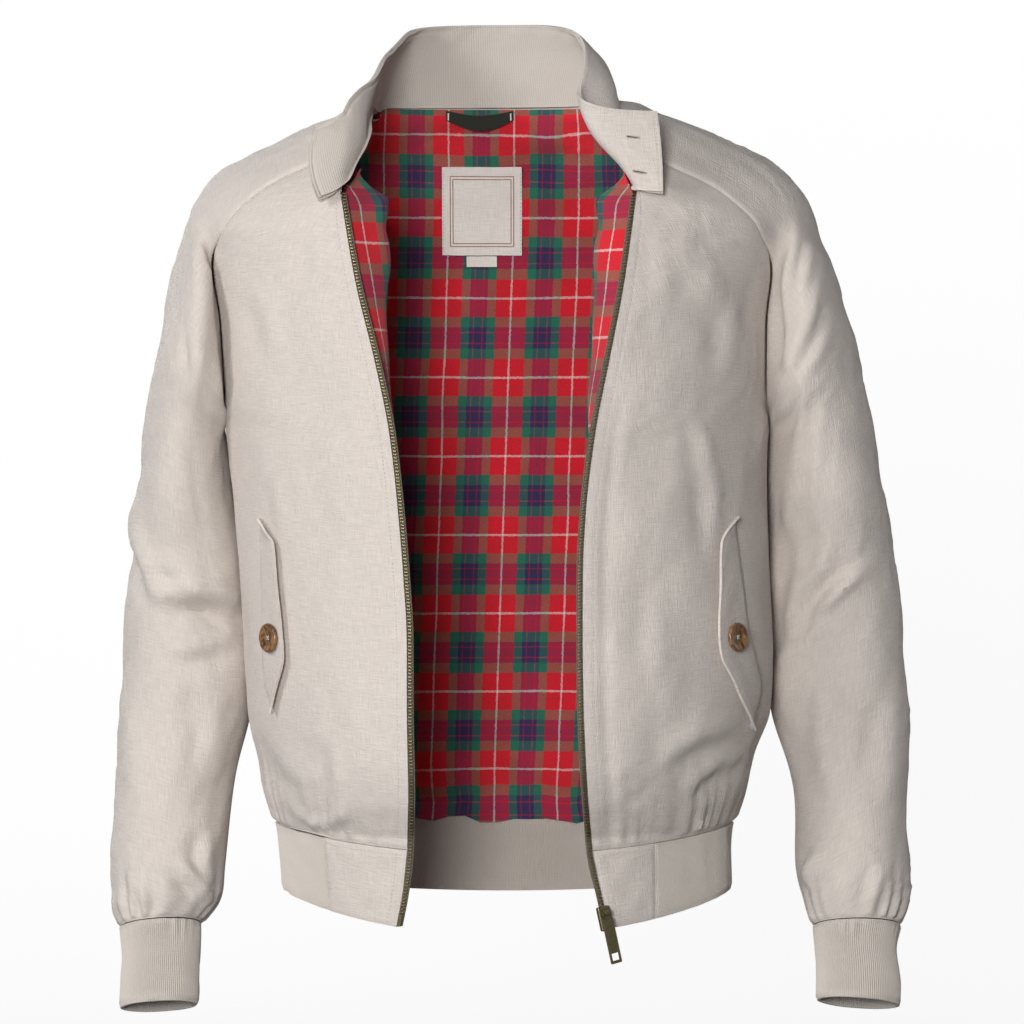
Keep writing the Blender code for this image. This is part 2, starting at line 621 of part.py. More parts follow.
def lining():
    """The flannel lining: behind the back, loose and swollen past the zips behind the fronts, and in the
    heads of the sleeves. It is coarser than the shell that it hangs in."""
    rear = back_grid()
    rear = rear - outward_at(rear) * LINING_DEPTH
    rear[0, :, 2] += 0.0010
    wall("lining_back", "lining", trimmed(rear[::2], 0.0014), LINING)
    for side, sign in SIDES.items():
        front = front_grid(side)
        front = front - outward_at(front) * LINING_DEPTH
        share = np.linspace(0, 1, FRONT_COLUMNS + 1)
        share = share[::-1] if side == "right" else share
        width = np.abs(front[:, -1, 0] - front[:, 0, 0])[:, None]
        swell = read(LINING_SWELL, "height", side, zip_heights(side))[:, None]
        bump = np.where(share < 0.5, np.sin(2 * math.pi * np.minimum(share, 0.5)), 0)[None, :]
        slack = (share - share**1.6)[None, :] * width
        ease = np.clip((-0.03 - front[..., 2]) / 0.06, 0.25, 1)
        front[..., 0] -= sign * (swell * bump + 0.7 * slack * ease)
        front[..., 1] += 0.018 * np.sin(math.pi * share)[None, :] * ease + 0.008 * bump
        front[0, :, 2] += 0.0010
        wall(f"lining_front_{side}", "lining", trimmed(front[::2], 0.0014), LINING)
        head = sleeve_grid(side, with_arm=False)
        outward = normals(head)
        outward[:, [0, -1]] = outward_at(head[:, [0, -1]])
        head = head - outward * LINING_DEPTH
        wall(f"lining_sleeve_{side}", "lining", trimmed(head[:LINING_STEPS:2, ::2], 0.0020), LINING)


def flap_point(side, along, across, lift):
    """A point on a pocket flap: `across` runs from its stitched edge (0) to its free edge (1)."""
    rows = FLAP[side]
    height = read(rows, "along", "height", along)
    x = read(rows, "along", "x", along) - SIDES[side] * read(rows, "along", "reach", along) * across
    angle = angle_at(x, height)
    outward = body_outward(height, angle)
    rise = FLAP_LIFT + POCKET_FLAP + lift + FLAP_RISE * across
    return body(height, angle) + outward * np.asarray(rise)[..., None], outward


def pockets():
    for side in SIDES:
        along = np.array(FLAP_STEPS)[::-1, None]
        across = np.linspace(0, 1, 4)[None, :]
        grid, _ = flap_point(side, along + 0 * across, across + 0 * along, 0.0)
        grid = grid[:, ::-1] if side == "left" else grid
        wall(f"pocket_flap_{side}", "shell", grid, POCKET_FLAP)
        place, outward = flap_point(side, FLAP_BUTTON["along"], FLAP_BUTTON["across"], BUTTON_LIFT)
        disc(f"pocket_button_{side}", BUTTON, place, outward)


def disc(name, size, foot, outward):
    """A round button with softened edges that stands on its foot point."""
    mesh = bpy.data.meshes.new(name)
    shape = bmesh.new()
    radius, thick = size["radius"], size["thick"]
    bmesh.ops.create_cone(shape, cap_ends=True, segments=28, radius1=radius, radius2=radius, depth=thick)
    shape.to_mesh(mesh)
    shape.free()
    item = make(name, "horn", mesh)
    item.location = Vector(foot + outward * thick / 2)
    item.rotation_euler = Vector(outward).to_track_quat("Z", "Y").to_euler()
    soft = item.modifiers.new("Soft edge", "BEVEL")
    soft.width = thick * 0.3
    soft.segments = 2


def collar_buttons():
    """Two buttons on the outside of the turned-out right end, one above the other."""
    grid, _ = collar_grid()
    outward = collar_outward(grid)[:, :2].mean(axis=1)
    line = grid[:, :2].mean(axis=1)
    for name, row in COLLAR_BUTTON_ROWS.items():
        facing = unit(outward[row])
        disc(f"collar_button_{name}", COLLAR_BUTTON, line[row] + facing * BUTTON_LIFT, facing)


def zip_strip(side, heights, near, far, depth):
    """A strip beside a zip edge, between two distances past it and this deep below the body's outside."""
    edges = (near, far) if side == "right" else (-far, -near)
    angle = zip_angle(side, heights)[:, None] + np.array(edges)[None, :] / read(BODY, "height", "half", heights)[:, None]
    height = np.repeat(heights[:, None], 2, axis=1)
    return body(height, angle) - body_outward(height, angle) * depth


def zips():
    for side in SIDES:
        foot = hem_height(zip_angle(side, -0.65)) + 0.0005
        middle = (foot + ZIP_FOOT) / 2
        heights = np.concatenate([[foot, middle], zip_heights(side)])
        tape = zip_strip(side, heights, -TAPE["under"], TAPE["past"], TAPE["depth"])
        wall(f"zip_tape_{side}", "tape", tape, TAPE["thick"])
        heights[0] += END_PIECE
        chain = zip_strip(side, heights, CHAIN["near"], CHAIN["far"], 0.0)
        wall(f"zip_chain_{side}", "brass", chain, CHAIN["thick"])
        ends = np.array([foot, foot + END_PIECE - 0.0004])
        name = "zip_pin" if side == "right" else "zip_box"
        wall(name, "brass", zip_strip(side, ends, CHAIN["near"], CHAIN["far"], 0.0), CHAIN["thick"])


def block(size, middle):
    """A box as a mesh: its size and its middle along each axis."""
    mesh = bpy.data.meshes.new("block")
    shape = bmesh.new()
    bmesh.ops.create_cube(shape, size=1)
    bmesh.ops.scale(shape, vec=size, verts=shape.verts)
    bmesh.ops.translate(shape, vec=middle, verts=shape.verts)
    shape.to_mesh(mesh)
    shape.free()
    return mesh


def rod(radius, length, middle, segments=20):
    """A round bar along X as a mesh."""
    mesh = bpy.data.meshes.new("rod")
    shape = bmesh.new()
    turn = Matrix.Rotation(math.pi / 2, 4, "Y")
    bmesh.ops.create_cone(
        shape, cap_ends=True, segments=segments, radius1=radius, radius2=radius, depth=length, matrix=turn
    )
    bmesh.ops.translate(shape, vec=middle, verts=shape.verts)
    shape.to_mesh(mesh)
    shape.free()
    return mesh


def combine(item, operation, mesh):
    """Joins a hidden tool to the item, or cuts it away. The tool shares the item's place."""
    tool = bpy.data.objects.new(f"{item.name}_{operation.lower()}", mesh)
    cutters.objects.link(tool)
    tool.location = item.location
    tool.rotation_euler = item.rotation_euler
    tool.hide_render = True
    tool.display_type = "WIRE"
    change = item.modifiers.new(operation.title(), "BOOLEAN")
    change.operation = operation
    change.solver = "EXACT"
    change.object = tool


def slider():
    """The zip's slider, in front of the left zip edge, and its pull, whose origin is on the bridge's pin."""
    height = SLIDER_HEIGHT
    angle = angle_at(read(ZIP, "height", "left", height) - SLIDER["aside"], height)
    outward = body_outward(height, angle)
    middle = body(height, angle) + outward * (0.0008 + SLIDER["deep"] / 2)
    facing = math.atan2(outward[0], -outward[1])
    pose = Euler((0, -PULL_TILT, facing))
    item = make("zip_slider", "brass", block((SLIDER["wide"], SLIDER["deep"], SLIDER["high"]), (0, 0, 0)))
    item.location = middle
    item.rotation_euler = pose
    soft = item.modifiers.new("Soft edge", "BEVEL")
    soft.width = 0.0012
    soft.segments = 2
    pin_y = -(SLIDER["deep"] / 2 + EYE_RADIUS + 0.0006)
    lug_x = EYE_WIDE / 2 + 0.0004 + LUG_WIDE / 2
    lug_deep = EYE_RADIUS + 0.0026
    for x in (-lug_x, lug_x):
        lug = block((LUG_WIDE, lug_deep, 0.0036), (x, -SLIDER["deep"] / 2 - lug_deep / 2 + 0.0008, BRIDGE_UP))
        combine(item, "UNION", lug)
    combine(item, "UNION", rod(PIN_RADIUS, 2 * lug_x, (0, pin_y, BRIDGE_UP)))

    neck = 0.0050
    plate = block((PULL["wide"], PULL["thick"], PULL["long"] - neck + 0.001), (0, 0, -(PULL["long"] + neck - 0.001) / 2))
    pull = make("zip_pull", "brass", plate)
    pull.location = item.location + pose.to_matrix() @ Vector((0, pin_y, BRIDGE_UP))
    pull.rotation_euler = pose
    soft = pull.modifiers.new("Soft edge", "BEVEL")
    soft.width = 0.0006
    soft.segments = 1
    combine(pull, "UNION", block((EYE_WIDE, PULL["thick"] * 0.8, neck), (0, 0, -neck / 2 - 0.0004)))
    combine(pull, "UNION", rod(EYE_RADIUS, EYE_WIDE, (0, 0, 0)))
    combine(pull, "DIFFERENCE", rod(EYE_BORE, EYE_WIDE * 2, (0, 0, 0)))
    window = PULL["window"]
    combine(pull, "DIFFERENCE", block((window, 0.01, window), (0, 0, -PULL["long"] + 0.0022 + window / 2)))


def trim():
    """The label and size tag on the lining of the back, and the loop that hangs the jacket up."""
    for name, size in (("label", LABEL), ("size_tag", SIZE_TAG)):
        x = size["x"] + size["wide"] * np.linspace(0.5, -0.5, 6)[None, :]
        height = size["height"] + size["high"] * np.linspace(-0.5, 0.5, 5)[:, None]
        wall(name, "label", inside_back(x + 0 * height, height + 0 * x, LINING_DEPTH + LINING + 0.0022), TRIM)
    share = np.linspace(0, 1, 9)[None, :]
    swing = np.sin(math.pi * share)
    x = LOOP["to"] + (LOOP["from"] - LOOP["to"]) * share
    height = LOOP["height"] - LOOP["sag"] * swing + LOOP["wide"] * np.array([[-0.5], [0.5]])
    depth = LINING_DEPTH + LINING + 0.0022 + LOOP["bow"] * swing
    wall("hanger_loop", "tape", inside_back(x + 0 * height, height + 0 * x, (depth + 0 * height)[..., None]), TRIM)


jacket = bpy.data.collections.new("harrington_jacket")
cutters = bpy.data.collections.new("cutters")


def main():
    for item in list(bpy.data.objects):
        bpy.data.objects.remove(item)
    for collection in (jacket, cutters):
        bpy.context.scene.collection.children.link(collection)
    fronts()
    back()
    sleeves()
    waistband()
    collar()
    collar_buttons()
    pockets()
    zips()
    slider()
    lining()
    trim()


main()
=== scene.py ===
"""The looks of the harrington jacket: cloth with its folds, rib knit, tartan lining, stitches and hardware.

Every piece is worked out from the same sections, seams and rings as the CAD, on finer grids, so it lies where
its solid lies. Metres, +Z up, the front towards -Y, the wearer's left at +X.
"""

import math

import bpy
import numpy as np
from mathutils import Euler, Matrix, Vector


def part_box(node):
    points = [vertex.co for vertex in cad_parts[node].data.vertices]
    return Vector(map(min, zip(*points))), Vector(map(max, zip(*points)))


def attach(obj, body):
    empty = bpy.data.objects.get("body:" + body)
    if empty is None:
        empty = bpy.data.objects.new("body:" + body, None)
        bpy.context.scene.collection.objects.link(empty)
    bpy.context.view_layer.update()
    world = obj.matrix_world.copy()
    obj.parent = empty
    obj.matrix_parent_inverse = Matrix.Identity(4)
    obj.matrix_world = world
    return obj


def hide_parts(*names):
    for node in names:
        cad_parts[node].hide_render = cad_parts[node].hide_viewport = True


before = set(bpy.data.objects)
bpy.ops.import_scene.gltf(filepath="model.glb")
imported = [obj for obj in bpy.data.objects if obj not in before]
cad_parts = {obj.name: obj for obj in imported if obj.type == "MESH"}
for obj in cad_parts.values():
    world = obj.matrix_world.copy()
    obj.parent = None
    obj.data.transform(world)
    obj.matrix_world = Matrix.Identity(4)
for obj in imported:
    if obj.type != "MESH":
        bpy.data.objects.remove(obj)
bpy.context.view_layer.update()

# Cloth and hardware, as in the CAD, but the collar's layers lie closer to the neck and to each other
CLOTH = 0.0014
RIB = 0.0022
LINING = 0.0010
TRIM = 0.0009
LINING_DEPTH = 0.0060  # from the outside of the shell to the lining
FLAP_LIFT = 0.0010
COLLAR_LIFT = 0.0010
COLLAR_LAYERS = 0.0004
COLLAR_SPLIT = 0.0004  # half the gap between rib and facing, as part of the way round
POCKET_FLAP = 0.0020
BUTTON = {"radius": 0.0115, "thick": 0.0036}
COLLAR_BUTTON = {"radius": 0.0075, "thick": 0.0028}
TAPE = {"under": 0.0080, "past": 0.0044, "thick": 0.0010, "depth": 0.0033}
CHAIN = {"near": 0.0010, "far": 0.0040, "thick": 0.0021}
END_PIECE = 0.0100
FLAP_RISE = 0.0050

# Fineness of the grids
SIDE_SHARE = 0.44  # part of a body panel's rows below the underarm
PANEL_ROWS = 151
FRONT_COLUMNS = 81
BACK_COLUMNS = 151
ARM_ROWS = 170
ARM_COLUMNS = 120
ARC_ROWS = 60  # rows of a sleeve above the underarm
COLLAR_ROWS = 26
COLLAR_COLUMNS = 420
RIB_PITCH = 0.0014
KNIT_ROW = 0.0013  # height of a row of knitted stitches
RIB_SAMPLES = 4  # columns of points for each rib

# Distances of topstitching from an edge
ZIP_STITCH = 0.0082
BORDER_STITCH = 0.0040
SEAM_STITCH = 0.0030


def table(columns, *rows):
    """A short table as one array for each named column."""
    return dict(zip(columns.split(), np.array(rows, float).T))


# Level sections of the body, from the waistband's bottom edge to the neck: half the width, x of the middle,
# and the depth before and behind the shoulder line. Above the underarm they take in the shoulders too.
BODY = table(
    "height half mid front back",
    (-0.660, 0.180, -0.004, 0.154, 0.152),
    (-0.640, 0.181, -0.004, 0.155, 0.154),
    (-0.585, 0.184, -0.006, 0.159, 0.157),
    (-0.575, 0.187, -0.006, 0.166, 0.163),
    (-0.555, 0.194, -0.006, 0.179, 0.171),
    (-0.525, 0.201, -0.005, 0.187, 0.176),
    (-0.490, 0.211, -0.002, 0.188, 0.175),
    (-0.440, 0.2140, -0.003, 0.184, 0.171),
    (-0.360, 0.2145, -0.007, 0.177, 0.165),
    (-0.250, 0.2195, -0.013, 0.168, 0.155),
    (-0.180, 0.2230, -0.0150, 0.160, 0.147),
    (-0.145, 0.2305, -0.0158, 0.154, 0.142),
    (-0.120, 0.2400, -0.0165, 0.148, 0.137),
    (-0.100, 0.2520, -0.0170, 0.141, 0.132),
    (-0.080, 0.2480, -0.0175, 0.132, 0.126),
    (-0.057, 0.2280, -0.0185, 0.116, 0.117),
    (-0.034, 0.1930, -0.0205, 0.097, 0.106),
    (-0.018, 0.1600, -0.0220, 0.080, 0.098),
    (0.004, 0.1250, -0.0240, 0.060, 0.085),
    (0.020, 0.1000, -0.0250, 0.050, 0.075),
)

# The zip edges: x of each at a height
ZIP = table(
    "height right left",
    (-0.655, -0.0912, 0.0765),
    (-0.630, -0.0862, 0.0712),
    (-0.600, -0.0820, 0.0640),
    (-0.550, -0.0800, 0.0588),
    (-0.490, -0.0810, 0.0556),
    (-0.430, -0.0812, 0.0547),
    (-0.380, -0.0840, 0.0549),
    (-0.330, -0.0882, 0.0574),
    (-0.270, -0.0950, 0.0648),
    (-0.215, -0.1062, 0.0755),
    (-0.150, -0.1222, 0.0880),
    (-0.080, -0.1345, 0.0979),
)

WAISTBAND_SEAM = {"right": -0.1455, "left": 0.1120}  # x where the rib meets the cloth ends
ZIP_FOOT = -0.5945  # where the zip edges meet the waistband
ZIP_TOP = -0.0800

# The raglan seams, from the neck (0) to the underarm (1): height on the front and back of the body, and the
# angle round it from the middle of the front or back
RAGLAN = table(
    "along front_angle front_height back_angle back_height",
    (0.00, 32.5, -0.0405, 42.8, 0.002),
    (0.08, 35.5, -0.048, 44.0, -0.018),
    (0.19, 39.8, -0.057, 46.0, -0.037),
    (0.28, 45.4, -0.069, 49.0, -0.055),
    (0.35, 49.3, -0.080, 52.0, -0.070),
    (0.42, 54.3, -0.094, 56.0, -0.087),
    (0.48, 59.5, -0.108, 61.0, -0.104),
    (0.54, 69.0, -0.124, 69.5, -0.124),
    (0.62, 76.0, -0.147, 76.0, -0.149),
    (0.76, 79.8, -0.190, 79.5, -0.190),
    (0.90, 81.3, -0.235, 81.3, -0.235),
    (1.00, 90.0, -0.252, 90.0, -0.252),
)

NARROW_NECK = {"right": 3.7, "left": 0.0}  # degrees by which a front raglan seam starts closer to the middle

# The top line of each sleeve over the shoulder, beside the same steps of the raglan seam, with the turn at
# which the cloth leaves the seam (degrees) and the sleeve's half depth
SHOULDER = table(
    "along right_x right_height left_x left_height turn depth",
    (0.00, -0.1175, -0.003, 0.0850, 0.003, 10, 0.080),
    (0.08, -0.1410, -0.010, 0.101, 0.001, 18, 0.084),
    (0.19, -0.170, -0.021, 0.117, -0.006, 20, 0.087),
    (0.28, -0.200, -0.036, 0.148, -0.017, 24, 0.088),
    (0.35, -0.222, -0.047, 0.174, -0.027, 26, 0.088),
    (0.42, -0.239, -0.056, 0.198, -0.038, 24, 0.086),
    (0.48, -0.250, -0.068, 0.217, -0.049, 14, 0.083),
    (0.54, -0.257, -0.082, 0.231, -0.065, -4, 0.080),
    (0.62, -0.263, -0.099, 0.243, -0.088, -28, 0.077),
    (0.76, -0.273, -0.131, 0.257, -0.123, -56, 0.075),
    (0.90, -0.282, -0.169, 0.270, -0.162, -76, 0.075),
    (1.00, -0.288, -0.200, 0.279, -0.193, -90, 0.075),
)

# Rings of the arms below the underarm: the outer and the inner point of each ring, y of its middle, its half
# depth, and how far it leans forward (degrees)
ARM_COLUMNS_NAMED = "out_x out_height in_x in_height y depth lean"
ARM = {
    "right": table(
        ARM_COLUMNS_NAMED,
        (-0.2950, -0.238, -0.2350, -0.272, 0.018, 0.075, 0),
        (-0.3035, -0.304, -0.2292, -0.325, 0.028, 0.074, 0),
        (-0.3105, -0.358, -0.2208, -0.372, 0.035, 0.070, 0),
        (-0.3174, -0.420, -0.2165, -0.425, 0.036, 0.064, 2),
        (-0.3215, -0.4965, -0.2160, -0.490, 0.029, 0.060, 5),
        (-0.3232, -0.559, -0.2262, -0.553, 0.012, 0.055, 9),
        (-0.3250, -0.618, -0.2313, -0.611, -0.010, 0.049, 13),
        (-0.3230, -0.645, -0.2345, -0.640, -0.021, 0.043, 15),
        (-0.3155, -0.664, -0.2490, -0.660, -0.029, 0.033, 16),
    ),
    "left": table(
        ARM_COLUMNS_NAMED,
        (0.2880, -0.236, 0.2098, -0.272, 0.018, 0.075, 0),
        (0.3025, -0.302, 0.2118, -0.325, 0.028, 0.074, 0),
        (0.3110, -0.357, 0.2100, -0.372, 0.035, 0.070, 0),
        (0.3200, -0.420, 0.2122, -0.425, 0.036, 0.064, 2),
        (0.3238, -0.4965, 0.2150, -0.4935, 0.029, 0.060, 5),
        (0.3218, -0.559, 0.2290, -0.556, 0.012, 0.055, 9),
        (0.3224, -0.620, 0.2290, -0.614, -0.010, 0.049, 13),
        (0.3205, -0.644, 0.2350, -0.642, -0.021, 0.043, 15),
        (0.3125, -0.662, 0.2410, -0.662, -0.029, 0.033, 16),
    ),
}
CUFF = {
    "right": table(
        ARM_COLUMNS_NAMED,
        (-0.3150, -0.6645, -0.2495, -0.6605, -0.0292, 0.0325, 16),
        (-0.3128, -0.682, -0.2500, -0.678, -0.035, 0.0285, 16),
        (-0.3125, -0.700, -0.2505, -0.697, -0.041, 0.0275, 16),
        (-0.3138, -0.7265, -0.2505, -0.7230, -0.049, 0.0275, 16),
    ),
    "left": table(
        ARM_COLUMNS_NAMED,
        (0.3120, -0.6625, 0.2415, -0.6625, -0.0292, 0.0325, 16),
        (0.3080, -0.679, 0.2430, -0.679, -0.035, 0.0285, 16),
        (0.3098, -0.700, 0.2436, -0.698, -0.041, 0.0275, 16),
        (0.3105, -0.7245, 0.2430, -0.7195, -0.049, 0.0275, 16),
    ),
}

# The collar, from its wearer's right end round the neck to its left end. Each row gives the part of the way
# round the neck seam, how far the cloth bulges from the straight line up to the top edge, and the top edge.
COLLAR = table(
    "along bulge_x bulge_y bulge_height top_x top_y top_height",
    (0.000, -0.0075, 0.000, 0.002, -0.1517, -0.104, -0.0285),
    (0.030, -0.0020, -0.003, 0.000, -0.1427, -0.106, -0.0245),
    (0.060, 0.0020, -0.005, 0.000, -0.1350, -0.106, -0.0200),
    (0.100, 0.0030, -0.004, 0.000, -0.1325, -0.098, -0.0125),
    (0.150, 0.0030, -0.003, 0.000, -0.1235, -0.080, 0.0025),
    (0.200, 0.0020, -0.003, 0.000, -0.1135, -0.056, 0.0145),
    (0.260, 0.0000, 0.000, 0.002, -0.1045, -0.018, 0.0370),
    (0.310, -0.0020, 0.001, 0.003, -0.0945, 0.015, 0.0515),
    (0.370, -0.0030, 0.002, 0.001, -0.0840, 0.049, 0.0660),
    (0.430, -0.0010, 0.002, 0.000, -0.0650, 0.073, 0.0715),
    (0.500, 0.0000, 0.002, 0.000, -0.0216, 0.087, 0.0742),
    (0.570, 0.0000, 0.002, 0.000, 0.0200, 0.079, 0.0736),
    (0.630, 0.0030, 0.002, 0.000, 0.0440, 0.060, 0.0695),
    (0.690, 0.0040, 0.001, 0.001, 0.0545, 0.032, 0.0615),
    (0.740, 0.0050, 0.000, 0.003, 0.0575, 0.000, 0.0530),
    (0.800, 0.0050, 0.000, 0.004, 0.0592, -0.038, 0.0410),
    (0.850, 0.0030, 0.000, 0.003, 0.0583, -0.068, 0.0245),
    (0.900, -0.0080, -0.003, 0.000, 0.0545, -0.092, 0.0015),
    (0.930, -0.0110, -0.005, -0.003, 0.0600, -0.106, -0.0095),
    (0.950, -0.0080, -0.005, 0.000, 0.0735, -0.110, -0.0140),
    (0.970, -0.0020, -0.003, 0.000, 0.0888, -0.111, -0.0160),
    (1.000, 0.0010, -0.002, 0.000, 0.1137, -0.110, -0.0167),
)
COLLAR_END = {  # the bottom corner of each turned-out end, past the zip
    "right": (-0.1513, -0.1250, -0.0875),
    "left": (0.1185, -0.1230, -0.0815),
}
FACING_FROM = 0.91  # part of the way round at which the cloth facing takes over from the rib

# Pocket flaps: from the top corner (0) to the bottom corner (1), x and height of the stitched edge, and how
# far the free edge reaches towards the front
FLAP = {
    "right": table(
        "along x height reach",
        (0.00, -0.1963, -0.3356, 0.0012),
        (0.08, -0.1971, -0.3470, 0.0090),
        (0.14, -0.1971, -0.3550, 0.0145),
        (0.35, -0.1965, -0.3890, 0.0170),
        (0.55, -0.1960, -0.4200, 0.0200),
        (0.72, -0.1955, -0.4430, 0.0212),
        (0.86, -0.1945, -0.4640, 0.0155),
        (1.00, -0.1865, -0.4870, 0.0012),
    ),
    "left": table(
        "along x height reach",
        (0.00, 0.1743, -0.3350, 0.0012),
        (0.08, 0.1749, -0.3470, 0.0120),
        (0.14, 0.1760, -0.3550, 0.0165),
        (0.35, 0.1805, -0.3900, 0.0220),
        (0.55, 0.1846, -0.4200, 0.0275),
        (0.72, 0.1900, -0.4430, 0.0310),
        (0.86, 0.1955, -0.4680, 0.0245),
        (1.00, 0.1880, -0.4995, 0.0012),
    ),
}
FLAP_BUTTON = {"along": 0.615, "across": 0.56}

# Trim inside the back of the neck: middle (x, height), width and height
LABEL = {"x": -0.0252, "height": -0.0754, "wide": 0.0680, "high": 0.0740}
SIZE_TAG = {"x": -0.0256, "height": -0.1176, "wide": 0.0260, "high": 0.0090}
LOOP = {"from": -0.0560, "to": 0.0020, "height": 0.0010, "sag": 0.0055, "wide": 0.0075, "bow": 0.0060}

SIDES = {"right": -1.0, "left": 1.0}


def read(rows, key, name, at):
    """Column `name` where column `key` is `at`, on a curve through the rows that never overshoots them."""
    xs, ys = rows[key], rows[name]
    chord = np.diff(ys) / np.diff(xs)
    before, after = chord[:-1], chord[1:]
    same = before * after > 0
    inner = np.where(same, 2 * before * after / np.where(same, before + after, 1.0), 0.0)
    slope = np.concatenate([chord[:1], inner, chord[-1:]])
    at = np.clip(at, xs[0], xs[-1])
    i = np.clip(np.searchsorted(xs, at) - 1, 0, len(xs) - 2)
    span = xs[i + 1] - xs[i]
    t = (at - xs[i]) / span
    rise = (2 * t**3 - 3 * t**2 + 1) * ys[i] + (3 * t**2 - 2 * t**3) * ys[i + 1]
    return rise + span * ((t**3 - 2 * t**2 + t) * slope[i] + (t**3 - t**2) * slope[i + 1])


def section(name, height):
    """A measure of the body's level section at this height."""
    return read(BODY, "height", name, height)


def unit(vector):
    return vector / np.maximum(np.linalg.norm(vector, axis=-1, keepdims=True), 1e-12)


def body(height, angle):
    """A point on the outside of the body: angle 0 is the middle of the front, +90 degrees the left side."""
    height, angle = np.broadcast_arrays(np.asarray(height, float), np.asarray(angle, float))
    deep = np.where(np.cos(angle) > 0, section("front", height), section("back", height))
    x = section("mid", height) + section("half", height) * np.sin(angle)
    return np.stack([x, -deep * np.cos(angle), height], axis=-1)


def angle_at(x, height):
    """The angle round the front of the body at which it has this x."""
    off = (x - section("mid", height)) / section("half", height)
    return np.arcsin(np.clip(off, -1, 1))


def zip_angle(side, height):
    return angle_at(read(ZIP, "height", side, height), height)


def waist_height(angle):
    """Height of the seam between the body and the waistband, lowest in the middle of the front."""
    return -0.580 - 0.015 * np.maximum(np.cos(angle), 0) ** 2 - 0.004 * np.maximum(-np.cos(angle), 0) ** 2


def hem_height(angle):
    """Height of the waistband's bottom edge."""
    return -0.634 - 0.025 * np.maximum(np.cos(angle), 0) ** 2 - 0.016 * np.maximum(-np.cos(angle), 0) ** 2


def body_outward(height, angle):
    """The outward direction of the body there."""
    step = 1e-4
    across = body(height, angle + step) - body(height, angle - step)
    up = body(height + step, angle) - body(height - step, angle)
    return unit(np.cross(across, up))


def inside_back(x, height, depth):
    """A point inside the back of the body, this deep behind its outside."""
    angle = math.pi - angle_at(x, height)
    return body(height, angle) - body_outward(height, angle) * depth


def outward_at(grid):
    """The body's outward directions at a grid of points on it."""
    x, y, height = grid[..., 0], grid[..., 1], grid[..., 2]
    across = (x - section("mid", height)) / section("half", height)
    deep = np.where(y < 0, section("front", height), section("back", height))
    return body_outward(height, np.arctan2(across, -y / deep))


def normals(grid):
    """The grid's outward directions, for rows that rise and columns that run to the wearer's left."""
    down = np.gradient(grid, axis=0)
    across = np.gradient(grid, axis=1)
    return unit(np.cross(across, down))


def seam(face, side, along):
    """Points of a raglan seam on the front or back of the body."""
    turn = read(RAGLAN, "along", f"{face}_angle", along)
    if face == "front":
        turn = turn - NARROW_NECK[side] * np.clip(1 - np.asarray(along) / 0.19, 0, 1) ** 2
    turn = np.radians(turn) * SIDES[side]
    turn = turn if face == "front" else SIDES[side] * math.pi - turn
    return read(RAGLAN, "along", f"{face}_height", along), turn


def spread(count, ease=0.85):
    """Values from 0 to 1 that lie closer together near both ends, where the seams are."""
    even = np.linspace(0, 1, count)
    return even - ease * np.sin(2 * math.pi * even) / (2 * math.pi)


def smooth(low, high, value):
    share = np.clip((value - low) / (high - low), 0, 1)
    return share * share * (3 - 2 * share)


# The grids of the cloth, as in the CAD but finer

def outer_border(face, side, part):
    """Heights and angles up a panel's outer border: the side seam, then the raglan seam to the neck."""
    under_height, under_angle = seam(face, side, 1.0)
    start = waist_height(under_angle)
    rising = start + (under_height - start) * part / SIDE_SHARE
    heights, angles = seam(face, side, np.clip((1 - part) / (1 - SIDE_SHARE), 0, 1))
    return np.where(part < SIDE_SHARE, rising, heights), np.where(part < SIDE_SHARE, under_angle, angles)


def front_grid(side):
    """Rows from the waistband up to the neck, columns from the wearer's right to the left."""
    part = spread(PANEL_ROWS)
    out_height, out_angle = outer_border("front", side, part)
    share = (out_height - out_height[0]) / (out_height[-1] - out_height[0])
    in_height = ZIP_FOOT + (ZIP_TOP - ZIP_FOOT) * share
    in_angle = zip_angle(side, in_height)
    across = spread(FRONT_COLUMNS)[None, :]
    height = in_height[:, None] * (1 - across) + out_height[:, None] * across
    angle = in_angle[:, None] * (1 - across) + out_angle[:, None] * across
    height = height + (waist_height(angle[:1]) - height[:1]) * (1 - part[:, None]) ** 4
    grid = body(height, angle)
    return grid[:, ::-1] if side == "right" else grid


def back_grid():
    """Rows from the waistband up to the neck, columns from the wearer's left round the back to the right."""
    part = spread(PANEL_ROWS)
    height, angle = outer_border("back", "left", part)
    across = spread(BACK_COLUMNS)[None, :]
    turned = angle[:, None] + (2 * math.pi - 2 * angle[:, None]) * across
    level = height[:, None] + (waist_height(turned[:1]) - height[:1, None]) * (1 - part[:, None]) ** 4
    return body(level, turned)


def arm_ring(row, columns):
    """One closed ring of a sleeve or cuff, starting at its inner point and running by the front."""
    outer = np.array([row["out_x"], row["y"], row["out_height"]])
    inner = np.array([row["in_x"], row["y"], row["in_height"]])
    lean = math.radians(row["lean"])
    ahead = row["depth"] * np.array([0, -math.cos(lean), math.sin(lean)])
    turn = np.linspace(-math.pi / 2, 1.5 * math.pi, columns)[:, None]
    return (outer + inner) / 2 + (outer - inner) / 2 * np.sin(turn) + ahead * np.cos(turn)


def arm_rings(rows, columns):
    named = [dict(zip(rows, values)) for values in zip(*rows.values())]
    return np.array([arm_ring(row, columns) for row in named])


